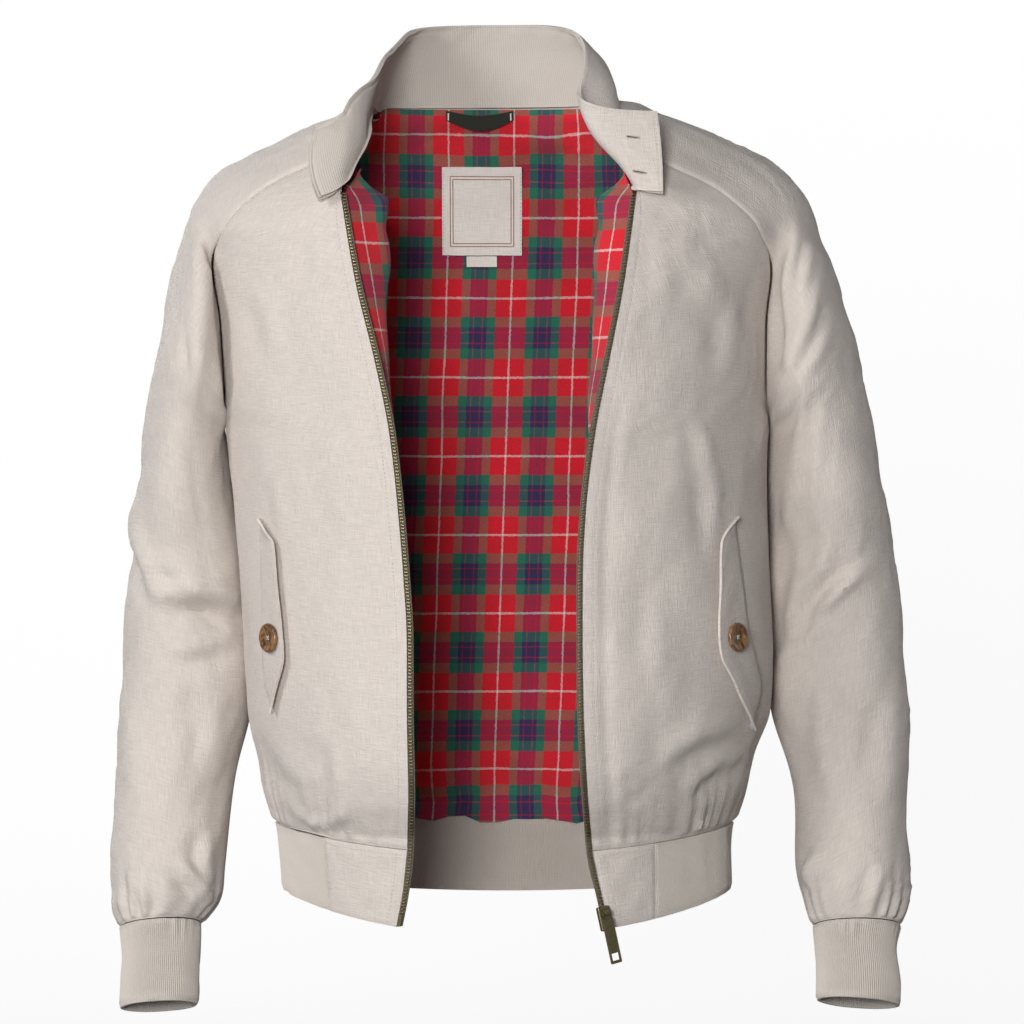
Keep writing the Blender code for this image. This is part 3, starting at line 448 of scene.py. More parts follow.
def shoulder_arc(side, along, columns):
    """A sleeve's arc from the front raglan seam over the shoulder line to the back raglan seam."""
    front = body(*seam("front", side, along))
    back = body(*seam("back", side, along))
    x = read(SHOULDER, "along", f"{side}_x", along)
    top = np.array([x, 0.012 * along, read(SHOULDER, "along", f"{side}_height", along)])
    turn = math.radians(read(SHOULDER, "along", "turn", along))
    depth = read(SHOULDER, "along", "depth", along)
    middle = (front + back) / 2
    base = (middle - top * math.sin(turn)) / (1 - math.sin(turn))
    sweep = np.linspace(turn, math.pi - turn, columns)[:, None]
    arc = base + (top - base) * np.sin(sweep) + np.array([0, -depth, 0]) * np.cos(sweep)
    fade = np.clip(1 - (sweep - turn) / (math.pi / 2 - turn), 0, 1) ** 2
    return arc + (front - arc[0]) * fade + (back - arc[-1]) * fade[::-1]


def through(rows, at):
    """Rows between the given ones, at fractional places, on smooth curves through them."""
    i = np.clip(np.floor(at).astype(int), 0, len(rows) - 2)
    t = (at - i).reshape(-1, 1, 1)
    padded = np.concatenate([2 * rows[:1] - rows[1:2], rows, 2 * rows[-1:] - rows[-2:-1]])
    a, b, c, d = (padded[i + k] for k in range(4))
    return b + t / 2 * (c - a + t * (2 * a - 5 * b + 4 * c - d + t * (3 * (b - c) + d - a)))


def sleeve_grid(side, with_arm=True):
    """Rows from the neck over the shoulder and down the arm, columns from the front round to the back."""
    grid = np.array([shoulder_arc(side, along, ARM_COLUMNS) for along in np.linspace(0, 1, ARC_ROWS) ** 1.15])
    if with_arm:
        rings = arm_rings(ARM[side], ARM_COLUMNS)
        keys = np.concatenate([[shoulder_arc(side, along, ARM_COLUMNS) for along in (0.89, 1.0)], rings])
        last = len(keys) - 1
        places = 1 + (last - 1) * (1 - (1 - np.linspace(0, 1, ARM_ROWS - ARC_ROWS + 1)) ** 1.15)[1:]
        grid = np.concatenate([grid, through(keys, places)])
    return grid[:, ::-1] if side == "left" else grid


def along_line(points, at):
    """Points at these parts of the way along a line."""
    steps = np.linalg.norm(np.diff(points, axis=0), axis=1)
    along = np.concatenate([[0], np.cumsum(steps)]) / steps.sum()
    return np.stack([np.interp(at, along, points[:, axis]) for axis in range(3)], axis=-1)


def collar_grid():
    """Rows from the neck seam to the top edge, columns from the wearer's right end to the left end."""
    columns = np.linspace(0, 1, COLLAR_COLUMNS)
    neck = np.concatenate(
        [
            front_grid("right")[-1][::-1],
            sleeve_grid("right")[0],
            back_grid()[-1][::-1],
            sleeve_grid("left")[0],
            front_grid("left")[-1][::-1],
        ]
    )
    ahead = np.clip((-neck[:, 1] - 0.03) / 0.05, 0, 1)[:, None]
    neck = neck + ahead * np.array([0, -0.0022, 0]) + np.array([0, 0, COLLAR_LIFT])
    foot = along_line(np.concatenate([[COLLAR_END["right"]], neck, [COLLAR_END["left"]]]), columns)
    bulge, top = (
        np.stack([read(COLLAR, "along", f"{line}_{name}", columns) for name in ("x", "y", "height")], axis=-1)
        for line in ("bulge", "top")
    )
    for line in (foot, bulge, top):
        blurred = np.pad(line, ((6, 6), (0, 0)), mode="edge")
        inner = sum(blurred[6 + k : len(line) + 6 + k] for k in range(-6, 7)) / 13
        keep = smooth(0.0, 0.02, np.minimum(columns, 1 - columns))[:, None]
        line += (inner - line) * keep
    rise = spread(COLLAR_ROWS, 0.6)[:, None, None]
    return foot * (1 - rise) + top * rise + bulge * 4 * rise * (1 - rise)


def collar_part(grid, start, end, count):
    """The collar's grid between two parts of the way round, columns from the wearer's left to the right."""
    at = np.linspace(start, end, count) * (grid.shape[1] - 1)
    low = np.minimum(at.astype(int), grid.shape[1] - 2)
    share = (at - low)[None, :, None]
    return (grid[:, low] * (1 - share) + grid[:, low + 1] * share)[:, ::-1]


def lengths(grid):
    """How far each point is from the first column and from the first row, along the cloth."""
    across = np.linalg.norm(np.diff(grid, axis=1), axis=2)
    up = np.linalg.norm(np.diff(grid, axis=0), axis=2)
    zero_column, zero_row = np.zeros((len(grid), 1)), np.zeros((1, grid.shape[1]))
    return (
        np.concatenate([zero_column, np.cumsum(across, axis=1)], axis=1),
        np.concatenate([zero_row, np.cumsum(up, axis=0)], axis=0),
    )


class Cloth:
    """A piece of cloth: the points of its outside, its outward directions, and the distances along it."""

    def __init__(self, grid):
        self.grid = grid
        self.out = normals(grid)
        self.across, self.up = lengths(grid)
        self.from_last = self.across[:, -1:] - self.across
        self.from_top = self.up[-1:] - self.up
        self.edge = np.minimum(np.minimum(self.across, self.from_last), np.minimum(self.up, self.from_top))
        self.seen = np.zeros(grid.shape[:2])

    def push(self, amount):
        self.seen = self.seen + amount

    def shaped(self):
        """The grid with everything pushed so far, and its own outward directions."""
        grid = self.grid + self.out * self.seen[..., None]
        return grid, normals(grid)

    def flat(self):
        """Width, length and area of the cut piece before it was folded."""
        along = np.linalg.norm(np.diff(self.grid, axis=1), axis=2)[:-1]
        rise = np.linalg.norm(np.diff(self.grid, axis=0), axis=2)[:, :-1]
        width, length = float(self.across.max()), float(self.up.max())
        return (width, length), min(float((along * rise).sum()), width * length)


# Folds

FOLD_DEPTH = 2.0  # how much deeper than in the tables below
FRONT_SHARE = 0.62  # the folds of the fronts are this much softer again


def uneven(seed, across, up, size, count=8):
    """A gentle, irregular wave over the cloth, about 1 high, with bumps about this far apart."""
    chance = np.random.default_rng(seed)
    total = np.zeros(np.broadcast(across, up).shape)
    for _ in range(count):
        turn, phase = chance.uniform(0, math.pi), chance.uniform(0, 2 * math.pi)
        pace = 2 * math.pi / (size * chance.uniform(0.7, 1.7))
        total = total + np.sin(pace * (math.cos(turn) * across + math.sin(turn) * up) + phase)
    return total / math.sqrt(count)


def wrinkles(seed, across, up, size):
    """Thin sharp ridges that come and go, as in cotton that has been worn: from 0 to 1."""
    lines = (1 - np.minimum(np.abs(uneven(seed, across, up, size)), 1)) ** 4
    patches = smooth(-0.3, 0.9, uneven(seed + 500, across, up, size * 2.6))
    return lines * patches


def worn(cloth, seed, ease, swell, swell_size, ridge, ridge_size, stretch=(1.0, 1.0)):
    """The soft swells and the thin wrinkles of cloth that has been worn, broad ones and fine ones."""
    across, up = cloth.across * stretch[0], cloth.up * stretch[1]
    cloth.push(swell * uneven(seed, cloth.across, cloth.up, swell_size) * ease)
    cloth.push(0.0003 * uneven(seed + 1, cloth.across, cloth.up, 0.024) * ease)
    cloth.push(ridge * wrinkles(seed + 3, across, up, ridge_size) * ease)
    cloth.push(0.0004 * wrinkles(seed + 4, cloth.across, cloth.up, 0.022) * ease)


def creases(cloth, facing, rows):
    """Ridges with a trough beside each, drawn as seen from the front (-1) or from the back (+1)."""
    view = cloth.grid[..., [0, 2]]
    shown = smooth(-0.35, 0.30, facing * cloth.out[..., 1])
    total = np.zeros(cloth.grid.shape[:2])
    for x1, height1, x2, height2, bend, width, depth in rows:
        depth = depth * FOLD_DEPTH
        start, line = np.array([x1, height1]), np.array([x2 - x1, height2 - height1])
        long = np.linalg.norm(line)
        aside = np.array([line[1], -line[0]]) / long
        share = (view - start) @ line / long**2
        inside = np.clip(share, 0, 1)
        centre = start + inside[..., None] * line + aside * (bend * 4 * inside * (1 - inside))[..., None]
        off = ((view - centre) @ aside) / width
        ridge = np.exp(-(off**2)) - 0.75 * np.exp(-((off - 1.7) ** 2) / 1.2)
        total += depth * ridge * np.sin(math.pi * inside) ** 0.7
    return total * shown


def gathers(seed, distance, along, pitch, reach, depth):
    """Short uneven puckers that run away from a seam."""
    chance = np.random.default_rng(seed)
    phase = chance.uniform(0, 2 * math.pi, 3)
    wander = 1.9 * np.sin(along * 2 * math.pi / (pitch * 4.3) + phase[0])
    strength = 0.6 + 0.4 * np.sin(along * 2 * math.pi / (pitch * 6.1) + phase[1])
    wave = np.sin(along * 2 * math.pi / pitch + wander + phase[2])
    rise = smooth(0, reach * 0.18, distance) * np.exp(-((distance / reach) ** 2))
    return depth * wave * strength * rise


def seam_dip(distance, depth=0.0016, width=0.0014):
    """Cloth dips where it turns into a seam."""
    return -depth * np.exp(-((distance / width) ** 2))


def stitch_groove(distance, place, depth=0.00035, width=0.0009):
    """The hollow that a row of topstitching pulls into the cloth."""
    return -depth * np.exp(-(((distance - place) / width) ** 2))


# Creases: from (x1, height1) to (x2, height2), how far the line bows to its right, width and depth
FRONT_CREASES = {
    "right": (
        (-0.1840, -0.300, -0.1760, -0.372, 0.002, 0.0055, 0.0024),
        (-0.1380, -0.505, -0.1385, -0.590, -0.003, 0.0070, 0.0030),
        (-0.1190, -0.520, -0.1230, -0.575, 0.002, 0.0060, 0.0012),
        (-0.1760, -0.560, -0.1400, -0.580, 0.004, 0.0050, 0.0018),
        (-0.1900, -0.500, -0.1600, -0.545, 0.006, 0.0090, 0.0022),
        (-0.1450, -0.110, -0.1500, -0.165, 0.003, 0.0080, 0.0012),
        (-0.2050, -0.150, -0.1850, -0.210, -0.004, 0.0080, 0.0020),
        (-0.1550, -0.430, -0.1480, -0.520, 0.003, 0.0100, 0.0014),
        (-0.1300, -0.300, -0.1350, -0.400, 0.003, 0.0120, 0.0010),
        (-0.1580, -0.575, -0.1250, -0.560, 0.003, 0.0055, 0.0016),
    ),
    "left": (
        (0.1440, -0.258, 0.1600, -0.352, -0.004, 0.0065, 0.0026),
        (0.1630, -0.300, 0.1590, -0.372, 0.003, 0.0055, 0.0020),
        (0.1150, -0.523, 0.1800, -0.495, -0.006, 0.0090, 0.0042),
        (0.1350, -0.548, 0.1840, -0.520, -0.005, 0.0070, 0.0032),
        (0.1800, -0.410, 0.1930, -0.440, 0.003, 0.0060, 0.0024),
        (0.1180, -0.100, 0.1250, -0.170, 0.003, 0.0080, 0.0010),
        (0.1850, -0.150, 0.1700, -0.220, 0.004, 0.0080, 0.0016),
        (0.1300, -0.110, 0.1700, -0.185, 0.004, 0.0100, 0.0014),
        (0.1500, -0.120, 0.1900, -0.200, 0.006, 0.0090, 0.0016),
        (0.0950, -0.200, 0.0900, -0.300, 0.003, 0.0110, 0.0010),
        (0.1180, -0.380, 0.1150, -0.470, 0.003, 0.0080, 0.0012),
        (0.1000, -0.555, 0.1300, -0.580, 0.003, 0.0070, 0.0014),
    ),
}
SLEEVE_CREASES = {
    "right": (
        (-0.3050, -0.300, -0.2760, -0.410, 0.010, 0.0070, 0.0036),
        (-0.2860, -0.398, -0.2200, -0.404, -0.010, 0.0075, 0.0048),
        (-0.2800, -0.440, -0.2250, -0.430, 0.004, 0.0060, 0.0026),
        (-0.2240, -0.120, -0.2260, -0.280, 0.002, 0.0050, -0.0030),
        (-0.2340, -0.110, -0.2270, -0.240, 0.004, 0.0050, -0.0026),
        (-0.2760, -0.404, -0.2260, -0.412, -0.007, 0.0060, 0.0042),
        (-0.2900, -0.370, -0.2500, -0.392, -0.004, 0.0060, 0.0020),
        (-0.2450, -0.105, -0.2480, -0.235, 0.003, 0.0060, 0.0030),
        (-0.2560, -0.120, -0.2580, -0.200, 0.003, 0.0060, 0.0018),
        (-0.2680, -0.607, -0.2390, -0.650, -0.004, 0.0060, 0.0034),
        (-0.2420, -0.585, -0.2400, -0.630, 0.004, 0.0050, 0.0022),
        (-0.3050, -0.610, -0.2850, -0.652, 0.003, 0.0060, 0.0016),
        (-0.3080, -0.480, -0.3000, -0.560, 0.003, 0.0110, 0.0018),
        (-0.2450, -0.460, -0.2400, -0.545, -0.003, 0.0090, 0.0018),
    ),
    "left": (
        (0.2085, -0.215, 0.2110, -0.098, -0.003, 0.0050, -0.0034),
        (0.2090, -0.215, 0.2200, -0.098, -0.002, 0.0052, -0.0036),
        (0.2095, -0.218, 0.2310, -0.112, 0.001, 0.0054, -0.0034),
        (0.2100, -0.224, 0.2410, -0.125, 0.002, 0.0054, -0.0024),
        (0.2110, -0.235, 0.2500, -0.165, 0.004, 0.0052, -0.0016),
        (0.2140, -0.350, 0.2240, -0.225, 0.003, 0.0055, -0.0030),
        (0.2130, -0.460, 0.2230, -0.340, 0.002, 0.0060, -0.0024),
        (0.2260, -0.330, 0.2360, -0.235, 0.003, 0.0060, -0.0018),
        (0.2280, -0.255, 0.2190, -0.335, 0.002, 0.0060, 0.0026),
        (0.2880, -0.372, 0.2380, -0.424, 0.004, 0.0055, 0.0038),
        (0.2620, -0.415, 0.2200, -0.455, 0.003, 0.0060, 0.0024),
        (0.2560, -0.350, 0.2300, -0.395, -0.003, 0.0070, 0.0018),
        (0.2450, -0.600, 0.2320, -0.640, 0.003, 0.0050, 0.0028),
        (0.2950, -0.610, 0.2800, -0.650, -0.003, 0.0060, 0.0018),
        (0.3080, -0.470, 0.3000, -0.560, -0.003, 0.0110, 0.0018),
        (0.2480, -0.470, 0.2560, -0.560, 0.003, 0.0100, 0.0018),
    ),
}
BACK_CREASES = (
    (-0.150, -0.120, -0.120, -0.230, 0.006, 0.0110, 0.0024),
    (0.125, -0.125, 0.095, -0.235, -0.006, 0.0110, 0.0024),
    (-0.185, -0.240, -0.165, -0.330, 0.004, 0.0090, 0.0022),
    (0.155, -0.245, 0.135, -0.320, -0.004, 0.0090, 0.0020),
    (-0.120, -0.500, -0.050, -0.535, 0.010, 0.0120, 0.0034),
    (0.020, -0.540, 0.120, -0.505, 0.010, 0.0120, 0.0030),
    (-0.060, -0.470, 0.040, -0.480, 0.006, 0.0140, 0.0018),
    (0.140, -0.460, 0.175, -0.520, 0.004, 0.0090, 0.0026),
    (-0.180, -0.470, -0.150, -0.530, -0.004, 0.0090, 0.0026),
)
ELBOW_CREASES = {
    "right": (
        (-0.300, -0.340, -0.245, -0.375, 0.006, 0.0080, 0.0036),
        (-0.305, -0.385, -0.240, -0.405, -0.005, 0.0070, 0.0034),
        (-0.300, -0.440, -0.250, -0.425, 0.005, 0.0080, 0.0026),
        (-0.255, -0.150, -0.262, -0.260, 0.004, 0.0080, 0.0030),
        (-0.300, -0.590, -0.260, -0.640, 0.003, 0.0070, 0.0030),
        (-0.275, -0.600, -0.250, -0.650, -0.003, 0.0060, 0.0020),
    ),
    "left": (
        (0.300, -0.350, 0.245, -0.372, -0.006, 0.0080, 0.0036),
        (0.302, -0.392, 0.240, -0.410, 0.005, 0.0070, 0.0034),
        (0.298, -0.445, 0.250, -0.432, -0.005, 0.0080, 0.0026),
        (0.240, -0.140, 0.245, -0.255, -0.004, 0.0080, 0.0034),
        (0.252, -0.150, 0.262, -0.230, -0.004, 0.0070, 0.0022),
        (0.298, -0.590, 0.258, -0.640, -0.003, 0.0070, 0.0030),
    ),
}


# Materials

def shader_node(tree, kind, inputs=None, **settings):
    """A node with its settings, and inputs that are numbers, colours or other nodes' outputs."""
    made = tree.nodes.new(f"ShaderNode{kind}")
    for name, value in settings.items():
        setattr(made, name, value)
    for name, value in (inputs or {}).items():
        if isinstance(value, bpy.types.NodeSocket):
            tree.links.new(value, made.inputs[name])
        else:
            made.inputs[name].default_value = value
    return made


def sums(tree, operation, first, second=0.0, third=0.0):
    return shader_node(tree, "Math", {0: first, 1: second, 2: third}, operation=operation).outputs[0]


def mixed(tree, share, first, second, blend="MIX"):
    made = shader_node(tree, "Mix", {0: share, 6: first, 7: second}, data_type="RGBA", blend_type=blend)
    return made.outputs[2]


def noise(tree, place, scale, detail):
    return shader_node(tree, "TexNoise", {"Vector": place, "Scale": scale, "Detail": detail}).outputs["Fac"]


def raised(tree, shader, height, distance, strength):
    """The height shows as relief on the surface."""
    bump = shader_node(tree, "Bump", {"Height": height, "Distance": distance, "Strength": strength})
    tree.links.new(bump.outputs[0], shader.inputs["Normal"])


def base_material(name, roughness, sheen=0.0, metallic=0.0, gloss=0.5):
    material = bpy.data.materials.new(name)
    material.use_nodes = True
    tree = material.node_tree
    shader = tree.nodes["Principled BSDF"]
    shader.inputs["Roughness"].default_value = roughness
    shader.inputs["Metallic"].default_value = metallic
    shader.inputs["Specular IOR Level"].default_value = gloss
    shader.inputs["Sheen Weight"].default_value = sheen
    shader.inputs["Sheen Roughness"].default_value = 0.6
    return material, tree, shader


def rgb(red, green, blue):
    """A colour from 0 to 255 on screen as the numbers that light works with."""
    screen = np.array([red, green, blue]) / 255
    return (*np.where(screen <= 0.04045, screen / 12.92, ((screen + 0.055) / 1.055) ** 2.4), 1.0)


def shaded(colour, by):
    """The colour made darker or lighter."""
    return tuple(min(c * by, 1.0) for c in colour[:3]) + (1.0,)


def weave_height(tree, place, pitch, twill):
    """Threads over and under each other, as a height from 0 to 1, with diagonal lines in a twill."""
    apart = shader_node(tree, "SeparateXYZ", {0: place})
    pace = 2 * math.pi / pitch
    warp = sums(tree, "SINE", sums(tree, "MULTIPLY", apart.outputs[0], pace))
    weft = sums(tree, "SINE", sums(tree, "MULTIPLY", apart.outputs[1], pace))
    cross = sums(tree, "MULTIPLY_ADD", sums(tree, "MULTIPLY", warp, weft), 0.35, 0.5)
    slant = sums(tree, "ADD", apart.outputs[0], apart.outputs[1])
    line = sums(tree, "SINE", sums(tree, "MULTIPLY", slant, pace / 2))
    return sums(tree, "MULTIPLY_ADD", line, twill, cross)


def woven(name, colour, roughness=0.85, pitch=0.0007, twill=0.15, relief=0.00022, sheen=0.15, fuzz=0.03):
    """Woven cloth: threads in relief with painted shade between them, slubs, and a colour that varies a
    little from place to place.
    """
    material, tree, shader = base_material(name, roughness, sheen, gloss=0.2)
    place = shader_node(tree, "TexCoord").outputs["UV"]
    height = weave_height(tree, place, pitch, twill)
    threads = []
    for scale in ((1300.0, 70.0, 1.0), (70.0, 1300.0, 1.0)):
        drawn_out = shader_node(tree, "Mapping", {"Vector": place, "Scale": scale}).outputs[0]
        threads.append(noise(tree, drawn_out, 1.0, 3.0))
    thick_and_thin = sums(tree, "MULTIPLY_ADD", sums(tree, "ADD", *threads), 2.4, -1.9)
    slub = noise(tree, place, 900.0, 2.0)
    broad = noise(tree, place, 16.0, 3.0)
    dark, light = shaded(colour, 0.80), shaded(colour, 1.05)
    # Painted shade and highlight of the weave: darker where the threads lie low, lighter where they stand up
    tone = mixed(tree, sums(tree, "MULTIPLY_ADD", height, 0.4, 0.5), dark, light)
    tone = mixed(tree, sums(tree, "MULTIPLY", slub, 8 * fuzz), tone, dark)
    tone = mixed(tree, sums(tree, "MULTIPLY_ADD", broad, 0.40, -0.10), tone, dark)
    tone = mixed(tree, thick_and_thin, tone, dark)
    tree.links.new(tone, shader.inputs["Base Color"])
    rough = sums(tree, "MULTIPLY_ADD", slub, 0.2, roughness - 0.1)
    tree.links.new(rough, shader.inputs["Roughness"])
    total = sums(tree, "MULTIPLY_ADD", height, 0.35, sums(tree, "MULTIPLY", slub, 1.2))
    total = sums(tree, "ADD", total, sums(tree, "MULTIPLY", thick_and_thin, 1.5))
    raised(tree, shader, total, relief, 0.8)
    return material


def knitted(name, colour):
    """Rib knit: the ribs are in the mesh, and the shader adds the stitches that run along them, with painted
    shade in the hollows between ribs and between rows of stitches.
    """
    material, tree, shader = base_material(name, 0.92, 0.2, gloss=0.15)
    place = shader_node(tree, "TexCoord").outputs["UV"]
    apart = shader_node(tree, "SeparateXYZ", {0: place})
    wave = sums(tree, "COSINE", sums(tree, "MULTIPLY", apart.outputs[0], math.pi / RIB_PITCH))
    lean = sums(tree, "ABSOLUTE", wave)
    bent = sums(tree, "MULTIPLY", lean, 2.0)
    row = sums(tree, "MULTIPLY_ADD", apart.outputs[1], 2 * math.pi / KNIT_ROW, bent)
    loop = sums(tree, "MULTIPLY_ADD", sums(tree, "SINE", row), 0.5, 0.5)
    fuzz = noise(tree, place, 1400.0, 2.0)
    broad = noise(tree, place, 30.0, 3.0)
    dark = shaded(colour, 0.62)
    # Painted shade: darker in the hollows between the ribs and between the rows of loops
    tone = mixed(tree, sums(tree, "MULTIPLY_ADD", lean, 0.55, 0.45), dark, colour)
    tone = mixed(tree, sums(tree, "MULTIPLY", sums(tree, "SUBTRACT", 1.0, loop), 0.25), tone, dark)
    tone = mixed(tree, sums(tree, "MULTIPLY", fuzz, 0.3), tone, dark)
    tone = mixed(tree, sums(tree, "MULTIPLY", broad, 0.2), tone, dark)
    tree.links.new(tone, shader.inputs["Base Color"])
    total = sums(tree, "ADD", loop, sums(tree, "MULTIPLY", fuzz, 0.8))
    raised(tree, shader, total, 0.00018, 0.8)
    return material


# The tartan: where each colour starts, as parts of the repeat from the middle of a white line
TARTAN_REPEAT = (0.0545, 0.0664)
TARTAN_BANDS = (
    (0.000, "white"), (0.014, "red"), (0.235, "green"), (0.365, "navy"), (0.425, "crimson"), (0.441, "navy"),
    (0.559, "crimson"), (0.575, "navy"), (0.635, "green"), (0.765, "red"), (0.986, "white"),
)
TARTAN_COLOURS = {
    "white": rgb(255, 242, 236),
    "red": rgb(238, 8, 40),
    "green": rgb(16, 124, 98),
    "navy": rgb(44, 40, 92),
    "crimson": rgb(180, 20, 60),
}


def tartan(name):
    """Brushed tartan flannel: both sets of threads carry the same bands, and each crossing mixes them."""
    material, tree, shader = base_material(name, 0.95, 0.15, gloss=0.1)
    place = shader_node(tree, "TexCoord").outputs["UV"]
    wander = noise(tree, place, 420.0, 2.0)
    apart = shader_node(tree, "SeparateXYZ", {0: place})
    threads = []
    for axis, repeat in enumerate(TARTAN_REPEAT):
        ragged = sums(tree, "MULTIPLY_ADD", wander, 0.0016, apart.outputs[axis])
        share = sums(tree, "FRACT", sums(tree, "DIVIDE", sums(tree, "SUBTRACT", ragged, 0.0008), repeat))
        ramp = shader_node(tree, "ValToRGB", {0: share})
        bands = ramp.color_ramp
        bands.interpolation = "CONSTANT"
        while len(bands.elements) > 1:
            bands.elements.remove(bands.elements[-1])
        bands.elements[0].position = 0.0
        bands.elements[0].color = TARTAN_COLOURS["white"]
        for start, colour in TARTAN_BANDS[1:]:
            bands.elements.new(start).color = TARTAN_COLOURS[colour]
        threads.append(ramp.outputs[0])
    pace = 2 * math.pi / 0.0011
    slant = sums(tree, "ADD", apart.outputs[0], apart.outputs[1])
    over = sums(tree, "MULTIPLY_ADD", sums(tree, "SINE", sums(tree, "MULTIPLY", slant, pace)), 0.10, 0.5)
    cloth = mixed(tree, over, *threads)
    fuzz = noise(tree, place, 700.0, 4.0)
    broad = noise(tree, place, 45.0, 4.0)
    deep = (0.05, 0.02, 0.02, 1.0)
    shade = mixed(tree, sums(tree, "MULTIPLY_ADD", fuzz, 0.75, -0.22), cloth, deep)
    shade = mixed(tree, sums(tree, "MULTIPLY_ADD", broad, 0.45, -0.12), shade, deep)
    shade = mixed(tree, 0.012, shade, (1.0, 0.9, 0.88, 1.0))
    tree.links.new(shade, shader.inputs["Base Color"])
    raised(tree, shader, fuzz, 0.0004, 0.7)
    return material


def brass(name, colour, worn, roughness=0.38):
    """Antique brass: dark in the hollows and rubbed brighter in patches."""
    material, tree, shader = base_material(name, roughness, metallic=0.95)
    place = shader_node(tree, "TexCoord").outputs["Object"]
    patch = noise(tree, place, 420.0, 4.0)
    fine = noise(tree, place, 2600.0, 2.0)
    tree.links.new(mixed(tree, patch, colour, worn), shader.inputs["Base Color"])
    tree.links.new(sums(tree, "MULTIPLY_ADD", fine, 0.25, roughness - 0.1), shader.inputs["Roughness"])
    raised(tree, shader, fine, 0.00005, 0.5)
    return material


def horn(name):
    """Polished horn: streaks of dark and light brown."""
    material, tree, shader = base_material(name, 0.28)
    shader.inputs["Coat Weight"].default_value = 0.3
    place = shader_node(tree, "TexCoord").outputs["Object"]
    streak = shader_node(tree, "Mapping", {"Vector": place, "Scale": (260.0, 120.0, 60.0)}).outputs[0]
    cloud = shader_node(tree, "TexNoise", {"Vector": streak, "Scale": 1.0, "Detail": 5.0, "Distortion": 1.2})
    ramp = shader_node(tree, "ValToRGB", {0: cloud.outputs["Fac"]})
    ramp.color_ramp.elements[0].position = 0.35
    ramp.color_ramp.elements[0].color = rgb(58, 34, 20)
    ramp.color_ramp.elements[1].position = 0.68
    ramp.color_ramp.elements[1].color = rgb(168, 122, 80)
    tree.links.new(ramp.outputs[0], shader.inputs["Base Color"])
    return material


STONE = rgb(226, 216, 208)
looks = {
    "shell": woven("shell_cloth", STONE),
    "rib": knitted("rib_knit", rgb(214, 205, 196)),
    "lining": tartan("tartan_flannel"),
    "tape": woven("zip_tape_cloth", rgb(120, 112, 96), pitch=0.0010, twill=0.3),
    "loop": woven("loop_tape", rgb(46, 50, 40), pitch=0.0010, twill=0.3),
    "thread": woven("thread", rgb(206, 196, 184), pitch=0.0004),
    "brown_thread": woven("brown_thread", rgb(150, 92, 52), pitch=0.0004),
    "label": woven("label_cloth", rgb(255, 246, 238), pitch=0.0005, twill=0.1, relief=0.00006),
    # Painted shadow for the slits of buttonholes and the holes of buttons
    "shadow": woven("painted_hole_shadow", rgb(40, 36, 32), pitch=0.0005),
    "brass": brass("antique_brass", rgb(112, 104, 78), rgb(168, 156, 120)),
    "horn": horn("horn"),
}


# Meshes

def linked(name, data):
    item = bpy.data.objects.new(name, data)
    bpy.context.scene.collection.objects.link(item)
    return item


def mesh_object(name, points, faces, material):
    mesh = bpy.data.meshes.new(name)
    mesh.from_pydata(points, [], faces)
    mesh.materials.append(material)
    mesh.shade_smooth()
    return linked(name, mesh)


def belongs(item, slot, *nodes, rides="jacket"):
    """The piece rides on a body and stands for these nodes. The slot is not used."""
    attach(item, rides)
    if nodes:
        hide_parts(*nodes)
    return item


def middle_of(node):
    lowest, highest = (np.array(corner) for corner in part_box(node))
    return (lowest + highest) / 2


def corners_of(index):
    """Corners of the square faces between neighbouring points of a grid."""
    return np.stack([index[:-1, :-1], index[:-1, 1:], index[1:, 1:], index[1:, :-1]], axis=-1).reshape(-1, 4)


def cloth_object(name, cloth, look, thick, uv=None, joined_from=None):
    """Cloth as a closed wall: its outside, its inside this much deeper, and its edges. From row `joined_from`
    on, its first and last columns are one."""
    outer, _ = cloth.shaped()
    inner = outer - cloth.out * thick
    rows, columns = outer.shape[:2]
    count = rows * columns
    index = np.arange(count).reshape(rows, columns)
    joined = index.copy()
    if joined_from is not None:
        joined[joined_from:, -1] = joined[joined_from:, 0]
    face, place = corners_of(joined), corners_of(index)
    start, end = face.ravel(), np.roll(face, -1, axis=1).ravel()
    free = ~np.isin(end * count + start, start * count + end)
    a, b = start[free], end[free]
    face = np.concatenate([face, face[:, ::-1] + count, np.stack([b, a, a + count, b + count], axis=-1)])
    place = np.concatenate([place, place[:, ::-1], np.stack([b, a, a, b], axis=-1)])
    used, face = np.unique(face, return_inverse=True)
    points = np.concatenate([outer.reshape(-1, 3), inner.reshape(-1, 3)])[used]
    mesh = bpy.data.meshes.new(name)
    mesh.vertices.add(len(used))
    mesh.vertices.foreach_set("co", points.astype(np.float32).ravel())
    mesh.loops.add(place.size)
    mesh.loops.foreach_set("vertex_index", face.ravel().astype(np.int32))
    mesh.polygons.add(len(place))
    mesh.polygons.foreach_set("loop_start", np.arange(0, place.size, 4, dtype=np.int32))
    mesh.update(calc_edges=True)
    spread_out = uv if uv is not None else (cloth.across - cloth.across[:, -1:] / 2, cloth.up)
    flat = np.stack(np.broadcast_arrays(*spread_out), axis=-1).reshape(-1, 2)
    layer = mesh.uv_layers.new(name="UVMap")
    layer.data.foreach_set("uv", flat[place.ravel()].astype(np.float32).ravel())
    mesh.materials.append(looks[look])
    mesh.shade_smooth()
    mesh.set_sharp_from_angle(angle=math.radians(70))
    return linked(name, mesh)


def sheet(name, cloth, slot, thick, node, held="hung", **options):
    item = belongs(cloth_object(name, cloth, slot, thick, **options), slot, node)
    flat, area = cloth.flat()


